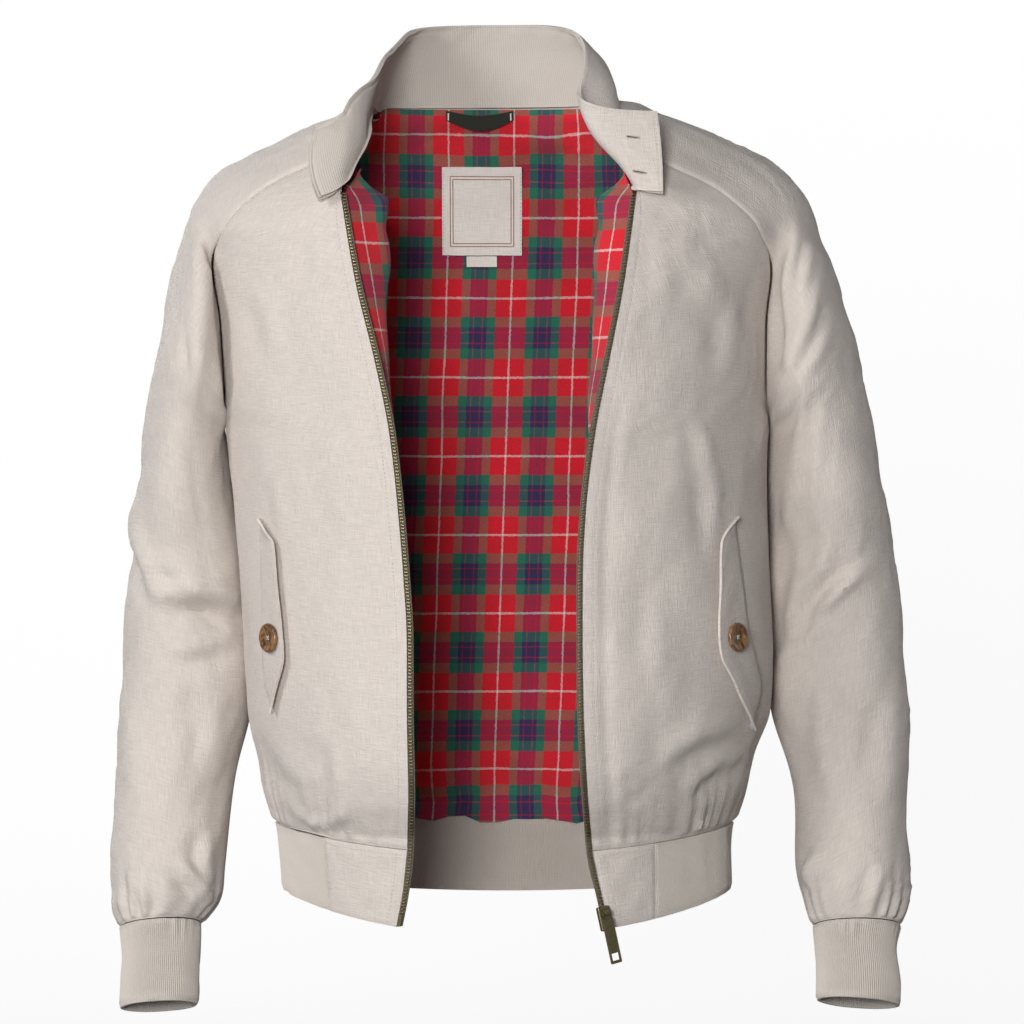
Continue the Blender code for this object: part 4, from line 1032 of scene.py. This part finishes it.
def inset_line(cloth, distance, place, by_column=False):
    """The line that keeps this far from an edge: its points and outward directions, one for each row."""
    grid, out = cloth.shaped()
    if by_column:
        grid, out, distance = grid.swapaxes(0, 1), out.swapaxes(0, 1), distance.T
    points, facing = [], []
    for row in range(len(grid)):
        order = np.argsort(distance[row])
        near = distance[row][order]
        points.append([np.interp(place, near, grid[row][order, axis]) for axis in range(3)])
        facing.append([np.interp(place, near, out[row][order, axis]) for axis in range(3)])
    return np.array(points), unit(np.array(facing))


def edges(cloth, side):
    """Distances from the side edge nearer the zip and from the other one."""
    return (cloth.from_last, cloth.across) if side == "right" else (cloth.across, cloth.from_last)


STITCH_CORNERS = ((1, 0), (0, 1), (-1, 0), (0, -1))


def stitch_parts(lines, pitch=0.0032, long=0.0023, radius=0.00026):
    """Points and faces of short rounded stitches, end to end along lines that lie on cloth."""
    points, faces = [], []
    for line, facing in lines:
        steps = np.linalg.norm(np.diff(line, axis=0), axis=1)
        along = np.concatenate([[0], np.cumsum(steps)])
        for middle in np.arange(pitch, along[-1] - pitch, pitch):
            at = [
                np.array([np.interp(middle + shift, along, line[:, axis]) for axis in range(3)])
                for shift in (-long / 2, 0, long / 2)
            ]
            out = unit(np.array([np.interp(middle, along, facing[:, axis]) for axis in range(3)]))
            ahead = unit(at[2] - at[0])
            aside = np.cross(ahead, out)
            first = len(points)
            points.append(at[0] - out * radius * 0.8)
            for share in (0.28, 0.72):
                ring = at[0] + (at[2] - at[0]) * share + out * radius * 0.35
                points.extend(ring + (aside * a + out * b) * radius for a, b in STITCH_CORNERS)
            points.append(at[2] - out * radius * 0.8)
            for k in range(4):
                n = (k + 1) % 4
                faces.append((first, first + 1 + n, first + 1 + k))
                faces.append((first + 1 + k, first + 1 + n, first + 5 + n, first + 5 + k))
                faces.append((first + 5 + k, first + 5 + n, first + 9))
    return points, faces


def stitched(name, lines, look="thread", slot="shell", **options):
    points, faces = stitch_parts(lines, **options)
    return belongs(mesh_object(name, points, faces, looks[look]), slot)


# The body's panels, sleeves, cuffs and waistband

def flap_room(cloth, side):
    """Little movement of the front under its pocket flap."""
    x, height = cloth.grid[..., 0] * SIDES[side], cloth.grid[..., 2]
    return 1 - 0.85 * np.exp(-(((x - 0.178) / 0.032) ** 4) - ((height + 0.412) / 0.092) ** 4)


def front_cloth(side):
    cloth = Cloth(front_grid(side))
    zip_edge, sewn_edge = edges(cloth, side)
    ease = smooth(0.004, 0.030, cloth.edge) * flap_room(cloth, side)
    seed = 10 if side == "right" else 20
    worn(cloth, seed, ease, 0.0012, 0.100, 0.0009, 0.050, stretch=(1.7, 1.0))
    cloth.push(FRONT_SHARE * creases(cloth, -1, FRONT_CREASES[side]) * flap_room(cloth, side))
    puckers = gathers(seed + 2, cloth.up, cloth.across[:1], 0.016, 0.042, 0.0024)
    cloth.push(puckers * smooth(0, 0.03, zip_edge))
    low = smooth(-0.22, -0.30, cloth.grid[..., 2]) if side == "left" else 0.35
    cloth.push(-0.0016 * np.exp(-(((zip_edge - 0.018) / 0.006) ** 2)) * low)
    cloth.push(seam_dip(sewn_edge) + seam_dip(cloth.up, 0.0012, 0.0022) + stitch_groove(zip_edge, ZIP_STITCH))
    cloth.push(stitch_groove(sewn_edge, SEAM_STITCH, 0.0003))
    return cloth, zip_edge, sewn_edge


def fronts():
    for side in SIDES:
        cloth, zip_edge, sewn_edge = front_cloth(side)
        sheet(f"front_{side}_cloth", cloth, "shell", CLOTH, f"front_{side}")
        lines = [inset_line(cloth, zip_edge, ZIP_STITCH), inset_line(cloth, sewn_edge, SEAM_STITCH)]
        lines[1] = tuple(part[int(SIDE_SHARE * PANEL_ROWS) :] for part in lines[1])
        stitched(f"front_{side}_stitches", lines)


def back_panel():
    cloth = Cloth(back_grid())
    side_edge = np.minimum(cloth.across, cloth.from_last)
    ease = smooth(0.004, 0.030, cloth.edge)
    worn(cloth, 30, ease, 0.0012, 0.10, 0.0009, 0.055, stretch=(1.4, 1.0))
    cloth.push(creases(cloth, 1, BACK_CREASES) * ease)
    cloth.push(gathers(32, cloth.up, cloth.across[:1], 0.017, 0.045, 0.0030))
    cloth.push(seam_dip(side_edge) + seam_dip(cloth.up, 0.0012, 0.0022))
    sheet("back_cloth", cloth, "shell", CLOTH, "back")


def sleeves():
    for side in SIDES:
        cloth = Cloth(sleeve_grid(side))
        sewn_edge = np.minimum(cloth.across, cloth.from_last)
        below = smooth(0.0, 0.05, cloth.up - cloth.up[ARC_ROWS - 1])
        sewn = 1 - below
        ease = smooth(0.004, 0.030, cloth.edge)
        seed = 40 if side == "right" else 50
        worn(cloth, seed, ease, 0.0015, 0.085, 0.0010, 0.048, stretch=(1.0, 1.3))
        inner_side = smooth(0.55, 0.95, -SIDES[side] * cloth.out[..., 0])
        inner_side = inner_side * smooth(0.0, 0.03, cloth.edge + 0.03 * below)
        beside = smooth(-0.24, -0.29, cloth.grid[..., 2]) * smooth(-0.54, -0.47, cloth.grid[..., 2])
        cloth.push(0.0042 * inner_side * beside)
        cloth.push(creases(cloth, -1, SLEEVE_CREASES[side]) * ease)
        cloth.push(creases(cloth, 1, ELBOW_CREASES[side]) * ease)
        around = np.linspace(0, cloth.across[-1, -1], ARM_COLUMNS)[None, :]
        cloth.push(gathers(seed + 2, cloth.from_top, around, 0.0135, 0.030, 0.0022))
        cloth.push(seam_dip(sewn_edge) * sewn + seam_dip(cloth.from_top, 0.0012, 0.0022))
        sheet(f"sleeve_{side}_cloth", cloth, "shell", CLOTH, f"sleeve_{side}", joined_from=ARC_ROWS - 1)


def ribbed(cloth, seed, depth=0.00034):
    """Ribs as ridges, one for every few columns, that wander a little."""
    turn = 2 * math.pi * np.arange(cloth.grid.shape[1])[None, :] / RIB_SAMPLES
    edge = smooth(0.0, 0.003, np.minimum(cloth.up, cloth.from_top))
    cloth.push(depth * np.cos(turn) * (0.45 + 0.55 * edge))
    cloth.ribs = (turn * RIB_PITCH / (2 * math.pi), cloth.up)
    cloth.push(0.0004 * uneven(seed, cloth.across, cloth.up, 0.03))


def cuffs():
    for side in SIDES:
        around = RIB_SAMPLES * 120 + 1
        rings = through(arm_rings(CUFF[side], around), np.linspace(0, 2.999, 24))
        cloth = Cloth(rings[:, ::-1] if side == "left" else rings)
        ribbed(cloth, 60)
        cloth.push(gathers(61, cloth.up, cloth.across[:1], 0.0110, 0.012, 0.0009))
        cloth.push(seam_dip(cloth.from_top, 0.0010, 0.0018))
        options = {"held": "stretched", "joined_from": 0, "uv": cloth.ribs}
        sheet(f"cuff_{side}_knit", cloth, "rib", RIB, f"cuff_{side}", **options)


def band_grid(start, end, columns, rows):
    """Part of the waistband, between angles given at its bottom, its middle and its top."""
    rise = np.linspace(0, 1, rows)
    share = np.linspace(0, 1, columns)[None, :]
    first, last = (np.interp(rise, (0, 0.5, 1), edge)[:, None] for edge in (start, end))
    turn = first * (1 - share) + last * share
    height = hem_height(turn) * (1 - rise[:, None]) + (waist_height(turn) - 0.0006) * rise[:, None]
    return body(height, turn)


def waistband():
    levels = np.array([-0.652, -0.6235, -0.595])
    seams = {side: np.full(3, angle_at(x, -0.615)) for side, x in WAISTBAND_SEAM.items()}
    cloth = Cloth(band_grid(seams["left"], seams["right"] + 2 * math.pi, RIB_SAMPLES * 620 + 1, 13))
    ribbed(cloth, 70)
    cloth.push(seam_dip(np.minimum(cloth.across, cloth.from_last)) + seam_dip(cloth.up, 0.0010, 0.0018))
    sheet("waistband_knit", cloth, "rib", RIB, "hem_rib", held="stretched", uv=cloth.ribs)
    ends = {
        "right": (seams["right"], zip_angle("right", levels)),
        "left": (zip_angle("left", levels), seams["left"]),
    }
    for side, (start, end) in ends.items():
        cloth = Cloth(band_grid(start, end, 60, 40))
        cloth.push(0.0005 * uneven(72, cloth.across, cloth.up, 0.03) * smooth(0.002, 0.012, cloth.edge))
        cloth.push(seam_dip(cloth.edge, 0.0007, 0.0018) + stitch_groove(cloth.from_top, BORDER_STITCH))
        sheet(f"waistband_{side}_end", cloth, "shell", RIB, f"hem_end_{side}", held="folded")
        zip_edge, _ = edges(cloth, side)
        lines = [
            inset_line(cloth, zip_edge, ZIP_STITCH),
            inset_line(cloth, cloth.from_top, BORDER_STITCH, by_column=True),
        ]
        stitched(f"waistband_{side}_stitches", lines)


# The collar: cloth outside, rib inside, and a cloth facing on the wearer's left end

def buttonhole(name, cloth, x, height):
    """A keyhole buttonhole in the facing: a ring of thread round a slit with a round eye, the slit a flat
    sheet in painted shadow.
    """
    grid, out = cloth.shaped()
    spot = np.unravel_index(np.argmin(np.abs(grid[..., [0, 2]] - (x, height)).sum(axis=-1)), grid.shape[:2])
    middle, outward = grid[spot], unit(out[spot])
    ahead = unit(grid[spot[0], min(spot[1] + 4, grid.shape[1] - 1)] - grid[spot[0], spot[1] - 4])
    aside = np.cross(outward, ahead)
    count = 48
    turn = np.linspace(0, 2 * math.pi, count, endpoint=False)
    bulb = 1 + 1.6 * np.exp(-((turn - math.pi) ** 2) / 0.35)
    ring = middle + np.outer(np.cos(turn) * 0.0056, ahead) + np.outer(np.sin(turn) * 0.0007 * bulb, aside)
    ring = ring + outward * 0.00035
    closed = np.concatenate([ring, ring[:1]])
    line = (closed, np.tile(outward, (count + 1, 1)))
    stitched(f"{name}_thread", [line], pitch=0.0006, long=0.0008, radius=0.00045)
    # The slit: a flat sheet in painted shadow
    points = [tuple(p) for p in ring - outward * 0.0001]
    belongs(mesh_object(f"{name}_slit", points, [tuple(range(count))], looks["shadow"]), "shell")


def collar():
    grid = collar_grid()
    whole = collar_part(grid, 0, 1, COLLAR_COLUMNS)
    around = np.linspace(0, 1, COLLAR_COLUMNS)
    sewn = smooth(0.10, 0.16, around) * smooth(0.90, 0.84, around)  # not on the turned-out ends
    whole[..., 2] -= 0.0026 * sewn * (1 - np.linspace(0, 1, COLLAR_ROWS)[:, None]) ** 8
    outer = Cloth(whole)
    outer.push(0.0014 * sewn * np.exp(-((outer.up / 0.004) ** 2)))
    ease = smooth(0.002, 0.014, outer.edge)
    outer.push(0.0006 * uneven(80, outer.across, outer.up, 0.05) * ease)
    side_edge = np.minimum(outer.across, outer.from_last)
    border = np.minimum(side_edge, outer.from_top)
    outer.push(seam_dip(border, 0.0006, 0.0014) + stitch_groove(border, BORDER_STITCH, 0.0003))
    sheet("collar_outer_cloth", outer, "shell", CLOTH, "collar_outer", held="folded")
    lines = [
        inset_line(outer, outer.from_top, BORDER_STITCH, by_column=True),
        inset_line(outer, outer.across, BORDER_STITCH),
        inset_line(outer, outer.from_last, BORDER_STITCH),
    ]
    stitched("collar_outer_stitches", lines)
    for name, start, end, count in (
        ("rib", 0.0, FACING_FROM - COLLAR_SPLIT, RIB_SAMPLES * 300 + 1),
        ("facing", FACING_FROM + COLLAR_SPLIT, 1.0, 110),
    ):
        part = collar_part(grid, start, end, count)
        inner = part - normals(part) * (CLOTH + COLLAR_LAYERS + RIB)
        inner[0] += unit(inner[1] - inner[0]) * 0.0012
        cloth = Cloth(inner[:, ::-1])
        if name == "rib":
            ribbed(cloth, 82, 0.00022)
            cloth.push(-0.0009 * np.exp(-(((cloth.from_top - 0.0036) / 0.0010) ** 2)))
            cloth.push(-0.0010 * np.exp(-(((cloth.across - 0.0040) / 0.0012) ** 2)))
            sheet("collar_rib_knit", cloth, "rib", RIB, "collar_inner", held="folded", uv=cloth.ribs)
        else:
            ends = np.minimum(cloth.from_top, cloth.from_last)
            cloth.push(0.0004 * uneven(83, cloth.across, cloth.up, 0.03) * smooth(0.002, 0.01, cloth.edge))
            cloth.push(seam_dip(ends, 0.0006, 0.0012) + stitch_groove(ends, SEAM_STITCH))
            sheet("collar_facing_cloth", cloth, "shell", RIB, "collar_facing", held="folded")
            lines = [
                inset_line(cloth, cloth.from_top, SEAM_STITCH, by_column=True),
                inset_line(cloth, cloth.from_last, SEAM_STITCH),
            ]
            stitched("collar_facing_stitches", lines)
            buttonhole("collar_buttonhole_top", cloth, 0.0945, -0.035)
            buttonhole("collar_buttonhole_low", cloth, 0.0999, -0.064)
    out = normals(grid[:, ::-1])[:, ::-1]
    column = 4
    for name, share in (("top", 0.72), ("low", 0.28)):
        row = int(share * (COLLAR_ROWS - 1))
        middle = middle_of(f"collar_button_{name}") + np.array([0.0045, 0, 0])
        button(f"collar_button_{name}", COLLAR_BUTTON, middle, out[row, column])


# The tartan lining

# How far the lining rolls out of the open fronts, at each height
LINING_ROLL = table(
    "height right left",
    (-0.655, 0.0020, 0.0020),
    (-0.400, 0.0040, 0.0030),
    (-0.332, 0.0190, 0.0180),
    (-0.290, 0.0235, 0.0250),
    (-0.243, 0.0290, 0.0340),
    (-0.190, 0.0360, 0.0385),
    (-0.148, 0.0415, 0.0400),
    (-0.106, 0.0405, 0.0370),
    (-0.080, 0.0380, 0.0340),
)


def lining():
    rear = back_grid()
    rear = (rear - outward_at(rear) * (LINING_DEPTH + LINING))[::2, ::-2]
    rise = np.linspace(0, 1, len(rear))[:, None]
    rear[..., 2] += 0.0050 * smooth(0.93, 1.0, rise) - 0.0075 * smooth(0.06, 0.0, rise)
    rear[..., 1] += 0.0022 * smooth(0.95, 1.0, rise)
    rear[..., 2] += 0.0030 * smooth(0.12, 0.0, rise) * uneven(93, rear[..., 0], 0 * rise, 0.045)
    cloth = Cloth(rear)
    ease = smooth(0.002, 0.030, cloth.edge)
    cloth.push(0.0022 * uneven(90, cloth.across, cloth.up, 0.08) * ease)
    cloth.push(0.0012 * wrinkles(95, cloth.across * 1.5, cloth.up, 0.05) * ease)
    cloth.push(0.0004 * uneven(91, cloth.across, cloth.up, 0.022) * ease)
    cloth.push(gathers(92, cloth.up, cloth.across[:1], 0.044, 0.060, 0.0045) * smooth(0.0, 0.010, cloth.up))
    height = cloth.grid[..., 2]
    cloth.push(0.0095 * np.exp(-(((height + 0.570) / 0.022) ** 2)) * smooth(0.0, 0.012, cloth.edge))
    line = 0.0017 - 0.017 * np.clip((-height - 0.08) / 0.47, 0, 1)
    rows = zip(line[:, 0], cloth.grid[..., 0], cloth.across)
    zero = np.array([np.interp(x, places, along) for x, places, along in rows])
    uv = (cloth.across - zero[:, None], height + 0.0175)
    sheet("lining_back_cloth", cloth, "lining", LINING, "lining_back", uv=uv)
    for side, sign in SIDES.items():
        front = front_grid(side)[::2, ::2]
        zip_heights = front[:, -1 if side == "right" else 0, 2]
        front = front - outward_at(front) * (LINING_DEPTH + LINING)
        share = spread(FRONT_COLUMNS)[::2]
        share = share[::-1] if side == "right" else share
        width = np.abs(front[:, -1, 0] - front[:, 0, 0])[:, None]
        swell = read(LINING_ROLL, "height", side, zip_heights)[:, None]
        rise = np.linspace(0, 1, len(front))[:, None]
        swell = swell * (1 - 0.72 * smooth(0.80, 0.97, rise))
        bump = np.where(share < 0.5, np.sin(2 * math.pi * np.minimum(share, 0.5)), 0)[None, :]
        slack = (share - share**1.6)[None, :] * width
        ease = np.clip((-0.03 - front[..., 2]) / 0.06, 0.25, 1)
        front[..., 0] -= sign * (swell * bump + 0.7 * slack * ease)
        front[..., 1] += 0.018 * np.sin(math.pi * share)[None, :] * ease + 0.008 * bump
        front[..., 2] += 0.014 * bump * smooth(0.84, 1.0, rise)
        front[0, :, 2] += 0.0010
        cloth = Cloth(front[:, ::-1])
        zip_edge = cloth.across if side == "right" else cloth.from_last
        cloth.push(0.0010 * uneven(94, cloth.across, cloth.up, 0.06) * smooth(0.004, 0.03, cloth.edge))
        first_line, level = (0.014, 0.119) if side == "right" else (0.016, 0.125)
        uv = (zip_edge - first_line, (cloth.grid[..., 2] + level) * TARTAN_REPEAT[1] / 0.069)
        sheet(f"lining_front_{side}_cloth", cloth, "lining", LINING, f"lining_front_{side}", uv=uv)
        head = sleeve_grid(side, with_arm=False)[: int(0.47 * ARC_ROWS)]
        outward = normals(head)
        outward[:, [0, -1]] = outward_at(head[:, [0, -1]])
        head = head - outward * (LINING_DEPTH + LINING)
        sleeve = Cloth(head[:, ::-1])
        sheet(f"lining_sleeve_{side}_cloth", sleeve, "lining", LINING, f"lining_sleeve_{side}")


# Pockets and buttons

BOX_FACES = ((0, 1, 3, 2), (4, 6, 7, 5), (0, 4, 5, 1), (2, 3, 7, 6), (0, 2, 6, 4), (1, 5, 7, 3))


def flap_point(side, along, across, lift):
    """A point on a pocket flap: `across` runs from its stitched edge (0) to its free edge (1)."""
    rows = FLAP[side]
    height = read(rows, "along", "height", along)
    x = read(rows, "along", "x", along) - SIDES[side] * read(rows, "along", "reach", along) * across
    angle = angle_at(x, height)
    outward = body_outward(height, angle)
    rise = FLAP_LIFT + POCKET_FLAP + lift + FLAP_RISE * across
    return body(height, angle) + outward * np.asarray(rise)[..., None], outward


def lathe(profile, segments=48):
    """Points and faces of a shape turned about its own Z axis, from (radius, height) pairs."""
    turn = np.linspace(0, 2 * math.pi, segments, endpoint=False)
    points = [(r * math.cos(t), r * math.sin(t), h) for r, h in profile for t in turn]
    faces = []
    for i in range(len(profile) - 1):
        for k in range(segments):
            n = (k + 1) % segments
            faces.append((i * segments + k, i * segments + n, (i + 1) * segments + n, (i + 1) * segments + k))
    faces.append(tuple(range(segments))[::-1])
    faces.append(tuple(range((len(profile) - 1) * segments, len(profile) * segments)))
    return points, faces


def placed(item, middle, outward):
    item.location = Vector(middle)
    item.rotation_euler = Vector(outward).to_track_quat("Z", "Y").to_euler()
    return item


def button(name, size, middle, outward):
    """A dished button with a raised rim, four holes drawn as small discs in painted shadow, and two crossed
    bars of thread.
    """
    radius, half = size["radius"], size["thick"] / 2
    profile = (
        (0.80, -1.0), (0.95, -0.8), (1.0, -0.2), (1.0, 0.4), (0.95, 0.9), (0.86, 1.0),
        (0.76, 0.8), (0.66, 0.35), (0.50, 0.2), (0.02, 0.15),
    )
    points, faces = lathe([(r * radius, h * half) for r, h in profile])
    disc = placed(mesh_object(f"{name}_disc", points, faces, looks["horn"]), middle, outward)
    belongs(disc, "horn", name)
    hole_points, hole_faces, bar_points, bar_faces = [], [], [], []
    for k in range(4):
        turn = math.pi / 4 + k * math.pi / 2
        centre = np.array([math.cos(turn), math.sin(turn), 0]) * radius * 0.2
        around, walls = lathe([(radius * 0.085, 0.20 * half), (radius * 0.07, 0.26 * half)], 12)
        first = len(hole_points)
        hole_points += [tuple(np.array(p) + centre) for p in around]
        hole_faces += [tuple(first + v for v in face) for face in walls]
    for turn in (math.pi / 4, -math.pi / 4):
        ahead = np.array([math.cos(turn), math.sin(turn), 0])
        aside = np.array([-ahead[1], ahead[0], 0])
        first = len(bar_points)
        for a in (-1, 1):
            for b in (-1, 1):
                side = ahead * a * radius * 0.2 + aside * b * radius * 0.05
                bar_points += [tuple(side + (0, 0, height * half)) for height in (0.2, 0.5)]
        bar_faces += [tuple(first + v for v in face) for face in BOX_FACES]
    # The holes: small discs in painted shadow
    holes = mesh_object(f"{name}_holes", hole_points, hole_faces, looks["shadow"])
    bars = mesh_object(f"{name}_thread", bar_points, bar_faces, looks["thread"])
    belongs(placed(holes, middle, outward), "horn")
    belongs(placed(bars, middle, outward), "shell")


def pockets():
    for side in SIDES:
        along = np.linspace(1, 0, 90)[:, None]
        across = spread(26, 0.5)[None, :]
        grid, _ = flap_point(side, along + 0 * across, across + 0 * along, 0.0)
        grid = grid[:, ::-1] if side == "left" else grid
        cloth = Cloth(grid)
        free_edge, sewn_edge = edges(cloth, side)
        cloth.push(0.0003 * uneven(100, cloth.across, cloth.up, 0.03) * smooth(0.001, 0.006, cloth.edge))
        cloth.push(seam_dip(free_edge, 0.0002, 0.0010))
        cloth.push(stitch_groove(free_edge, BORDER_STITCH, 0.00018, 0.0007))
        cloth.push(seam_dip(sewn_edge, 0.0004, 0.0015))
        sheet(f"pocket_flap_{side}_cloth", cloth, "shell", POCKET_FLAP, f"pocket_flap_{side}", held="folded")
        line, facing = inset_line(cloth, free_edge, BORDER_STITCH)
        stitched(f"pocket_flap_{side}_stitches", [(line[14:-14], facing[14:-14])])
        _, outward = flap_point(side, FLAP_BUTTON["along"], FLAP_BUTTON["across"], 0.0)
        button(f"pocket_button_{side}", BUTTON, middle_of(f"pocket_button_{side}"), outward)


# The zip

def zip_strip(side, heights, near, far, depth):
    """A strip beside a zip edge, between two distances past it and this deep below the body's outside."""
    past = np.array((near, far) if side == "right" else (-far, -near))[None, :]
    angle = zip_angle(side, heights)[:, None] + past / section("half", heights)[:, None]
    height = np.repeat(heights[:, None], 2, axis=1)
    return body(height, angle) - body_outward(height, angle) * depth


TOOTH_PITCH = 0.0026


def zips():
    for side in SIDES:
        foot = float(hem_height(zip_angle(side, -0.65))) + 0.0005
        heights = np.linspace(foot, ZIP_TOP, 200)
        ends = zip_strip(side, heights, -TAPE["under"], TAPE["past"], TAPE["depth"])
        share = np.linspace(0, 1, 8)[None, :, None]
        tape = Cloth(ends[:, :1] * (1 - share) + ends[:, 1:] * share)
        sheet(f"zip_tape_{side}_cloth", tape, "tape", TAPE["thick"], f"zip_tape_{side}")
        levels = np.arange(foot + END_PIECE + 0.001, ZIP_TOP, TOOTH_PITCH)
        strip = zip_strip(side, levels, CHAIN["near"], CHAIN["far"], CHAIN["thick"] / 2)
        out = body_outward(levels, zip_angle(side, levels))
        ahead = unit(np.gradient(strip.mean(axis=1), axis=0))
        aside = unit(strip[:, 1] - strip[:, 0])
        long = np.linalg.norm(strip[:, 1] - strip[:, 0], axis=1) / 2
        points, faces = [], []
        head = 1 if side == "right" else -1
        for k, middle in enumerate(strip.mean(axis=1)):
            first = len(points)
            for a in (-1, 1):
                slim = 0.45 if a == head else 0.72
                for b in (-1, 1):
                    for c in (-1, 1):
                        across = aside[k] * a * long[k]
                        upward = ahead[k] * b * slim * TOOTH_PITCH * 0.42
                        points.append(middle + across + upward + out[k] * c * CHAIN["thick"] * 0.5)
            faces += [tuple(first + v for v in face) for face in BOX_FACES]
        teeth = mesh_object(f"zip_teeth_{side}", points, faces, looks["brass"])
        soft = teeth.modifiers.new("Soft edges", "BEVEL")
        soft.width = 0.00025
        soft.segments = 2
        belongs(teeth, "brass", f"zip_chain_{side}")
    for name in ("zip_slider", "zip_pull", "zip_pin", "zip_box"):
        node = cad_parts[name]
        node.data.materials.clear()
        node.data.materials.append(looks["brass"])
        node.data.shade_smooth()
        node.data.set_sharp_from_angle(angle=math.radians(35))


# Label, size tag and hanger loop

def strip_mesh(name, lines, look, slot, wide, thick=0.0003):
    """Flat bands of thread that lie on cloth, along lines given as points with outward directions."""
    points, faces = [], []
    for line, facing in lines:
        aside = np.cross(unit(np.gradient(line, axis=0)), facing)
        first = len(points)
        for k, at in enumerate(line):
            points += [at - aside[k] * wide / 2, at + facing[k] * thick, at + aside[k] * wide / 2]
        for k in range(len(line) - 1):
            a = first + 3 * k
            faces += [(a, a + 1, a + 4, a + 3), (a + 1, a + 2, a + 5, a + 4)]
    return belongs(mesh_object(name, points, faces, looks[look]), slot)


def trim_cloth(size, depth, rows, columns, seed):
    x = size["x"] + np.linspace(-0.5, 0.5, columns)[None, :] * size["wide"]
    height = size["height"] + np.linspace(-0.5, 0.5, rows)[:, None] * size["high"]
    cloth = Cloth(inside_back(x + 0 * height, height + 0 * x, depth))
    cloth.push(0.0004 * uneven(seed, cloth.across, cloth.up, 0.03))
    return cloth


def trim():
    depth = LINING_DEPTH + LINING + 0.0022
    label = trim_cloth(LABEL, depth + 0.0010, 60, 60, 110)
    sheet("label_cloth", label, "label", TRIM, "label")
    grid, out = label.shaped()
    lines = []
    for inset in (6, 8):
        low, high = inset, 59 - inset
        route = (
            [(low, c) for c in range(low, high + 1)]
            + [(r, high) for r in range(low + 1, high + 1)]
            + [(high, c) for c in range(high - 1, low - 1, -1)]
            + [(r, low) for r in range(high - 1, low - 1, -1)]
        )
        lines.append((np.array([grid[p] for p in route]), np.array([out[p] for p in route])))
    strip_mesh("label_border", lines, "brown_thread", "label", 0.0007)
    edge = np.arange(60)
    tacks = [(grid[edge, 1], out[edge, 1]), (grid[edge, 58], out[edge, 58])]
    stitched("label_stitches", tacks, "thread", "label")
    tag = trim_cloth(SIZE_TAG, depth + 0.0014, 16, 34, 111)
    belongs(cloth_object("size_tag_cloth", tag, "label", TRIM), "label", "size_tag")
    x = np.linspace(LOOP["from"], LOOP["to"], 60)[None, :]
    share = (x - LOOP["from"]) / (LOOP["to"] - LOOP["from"])
    down = np.linspace(1, 0, 8)[:, None]
    sag = LOOP["sag"] * np.sin(math.pi * share) * (0.2 + 0.8 * down)
    level = LOOP["height"] + 0.0055 - sag - down * LOOP["wide"]
    away = depth + LOOP["bow"] * np.sin(math.pi * share)
    loop = Cloth(inside_back(x + 0 * level, level, (away + 0 * level)[..., None]))
    belongs(cloth_object("hanger_loop_tape", loop, "loop", TRIM), "tape", "hanger_loop")
    grid, out = loop.shaped()
    ends = [(grid[1:-1, 2], out[1:-1, 2]), (grid[1:-1, 57], out[1:-1, 57])]
    strip_mesh("hanger_loop_tacks", ends, "label", "tape", 0.0012, 0.0005)


# Camera, light and surroundings

FLOOR = -1.45  # a wearer's shoulders are this far above the ground
MIDDLE = -0.33  # height of the jacket's middle, which the camera and the lights face


def light(name, place, size, power):
    lamp = bpy.data.lights.new(name, "AREA")
    lamp.shape = "DISK"
    lamp.size = size
    lamp.energy = power
    item = linked(name, lamp)
    item.location = place
    aim = Vector((0, 0, MIDDLE)) - Vector(place)
    item.rotation_euler = aim.to_track_quat("-Z", "Y").to_euler()


def surroundings():
    scene = bpy.context.scene
    view = bpy.data.cameras.new("Camera")
    view.sensor_width = 36
    view.lens = 151.9
    view.clip_end = 50
    camera = linked("Camera", view)
    camera.location = (0, -3.5, MIDDLE)
    camera.rotation_euler = Euler((math.pi / 2, 0, 0))
    scene.camera = camera
    scene.view_settings.view_transform = "Standard"
    world = bpy.data.worlds.new("World")
    world.use_nodes = True
    backdrop = world.node_tree.nodes["Background"]
    backdrop.inputs["Color"].default_value = (1, 1, 1, 1)
    backdrop.inputs["Strength"].default_value = 0.13
    scene.world = world
    light("key", (-2.4, -2.0, 0.9), 1.2, 42)
    light("front", (-0.5, -3.5, 0.0), 0.9, 88)
    light("back", (-1.8, 2.8, 1.0), 1.8, 62)
    light("back_fill", (2.4, 2.4, 0.1), 2.0, 26)
    material = bpy.data.materials.new("floor")
    material.use_nodes = True
    shader = material.node_tree.nodes["Principled BSDF"]
    shader.inputs["Base Color"].default_value = (0.9, 0.9, 0.9, 1)
    shader.inputs["Roughness"].default_value = 1.0
    shader.inputs["Emission Color"].default_value = (1, 1, 1, 1)
    shader.inputs["Emission Strength"].default_value = 0.8
    outline = [(0.01, FLOOR), (6.0, FLOOR)]
    for turn in np.linspace(0.1, math.pi / 2, 12):
        outline.append((6.0 + 2 * math.sin(turn), FLOOR + 2 - 2 * math.cos(turn)))
    outline += [(8.0, 5.0), (6.0, 7.5), (0.01, 8.0)]
    points, faces = lathe(outline, 64)
    floor = mesh_object("floor", points, faces, material)
    floor.visible_diffuse = False
    floor.visible_glossy = False


fronts()
back_panel()
sleeves()
cuffs()
waistband()
collar()
lining()
pockets()
zips()
trim()
surroundings()
bpy.context.view_layer.update()
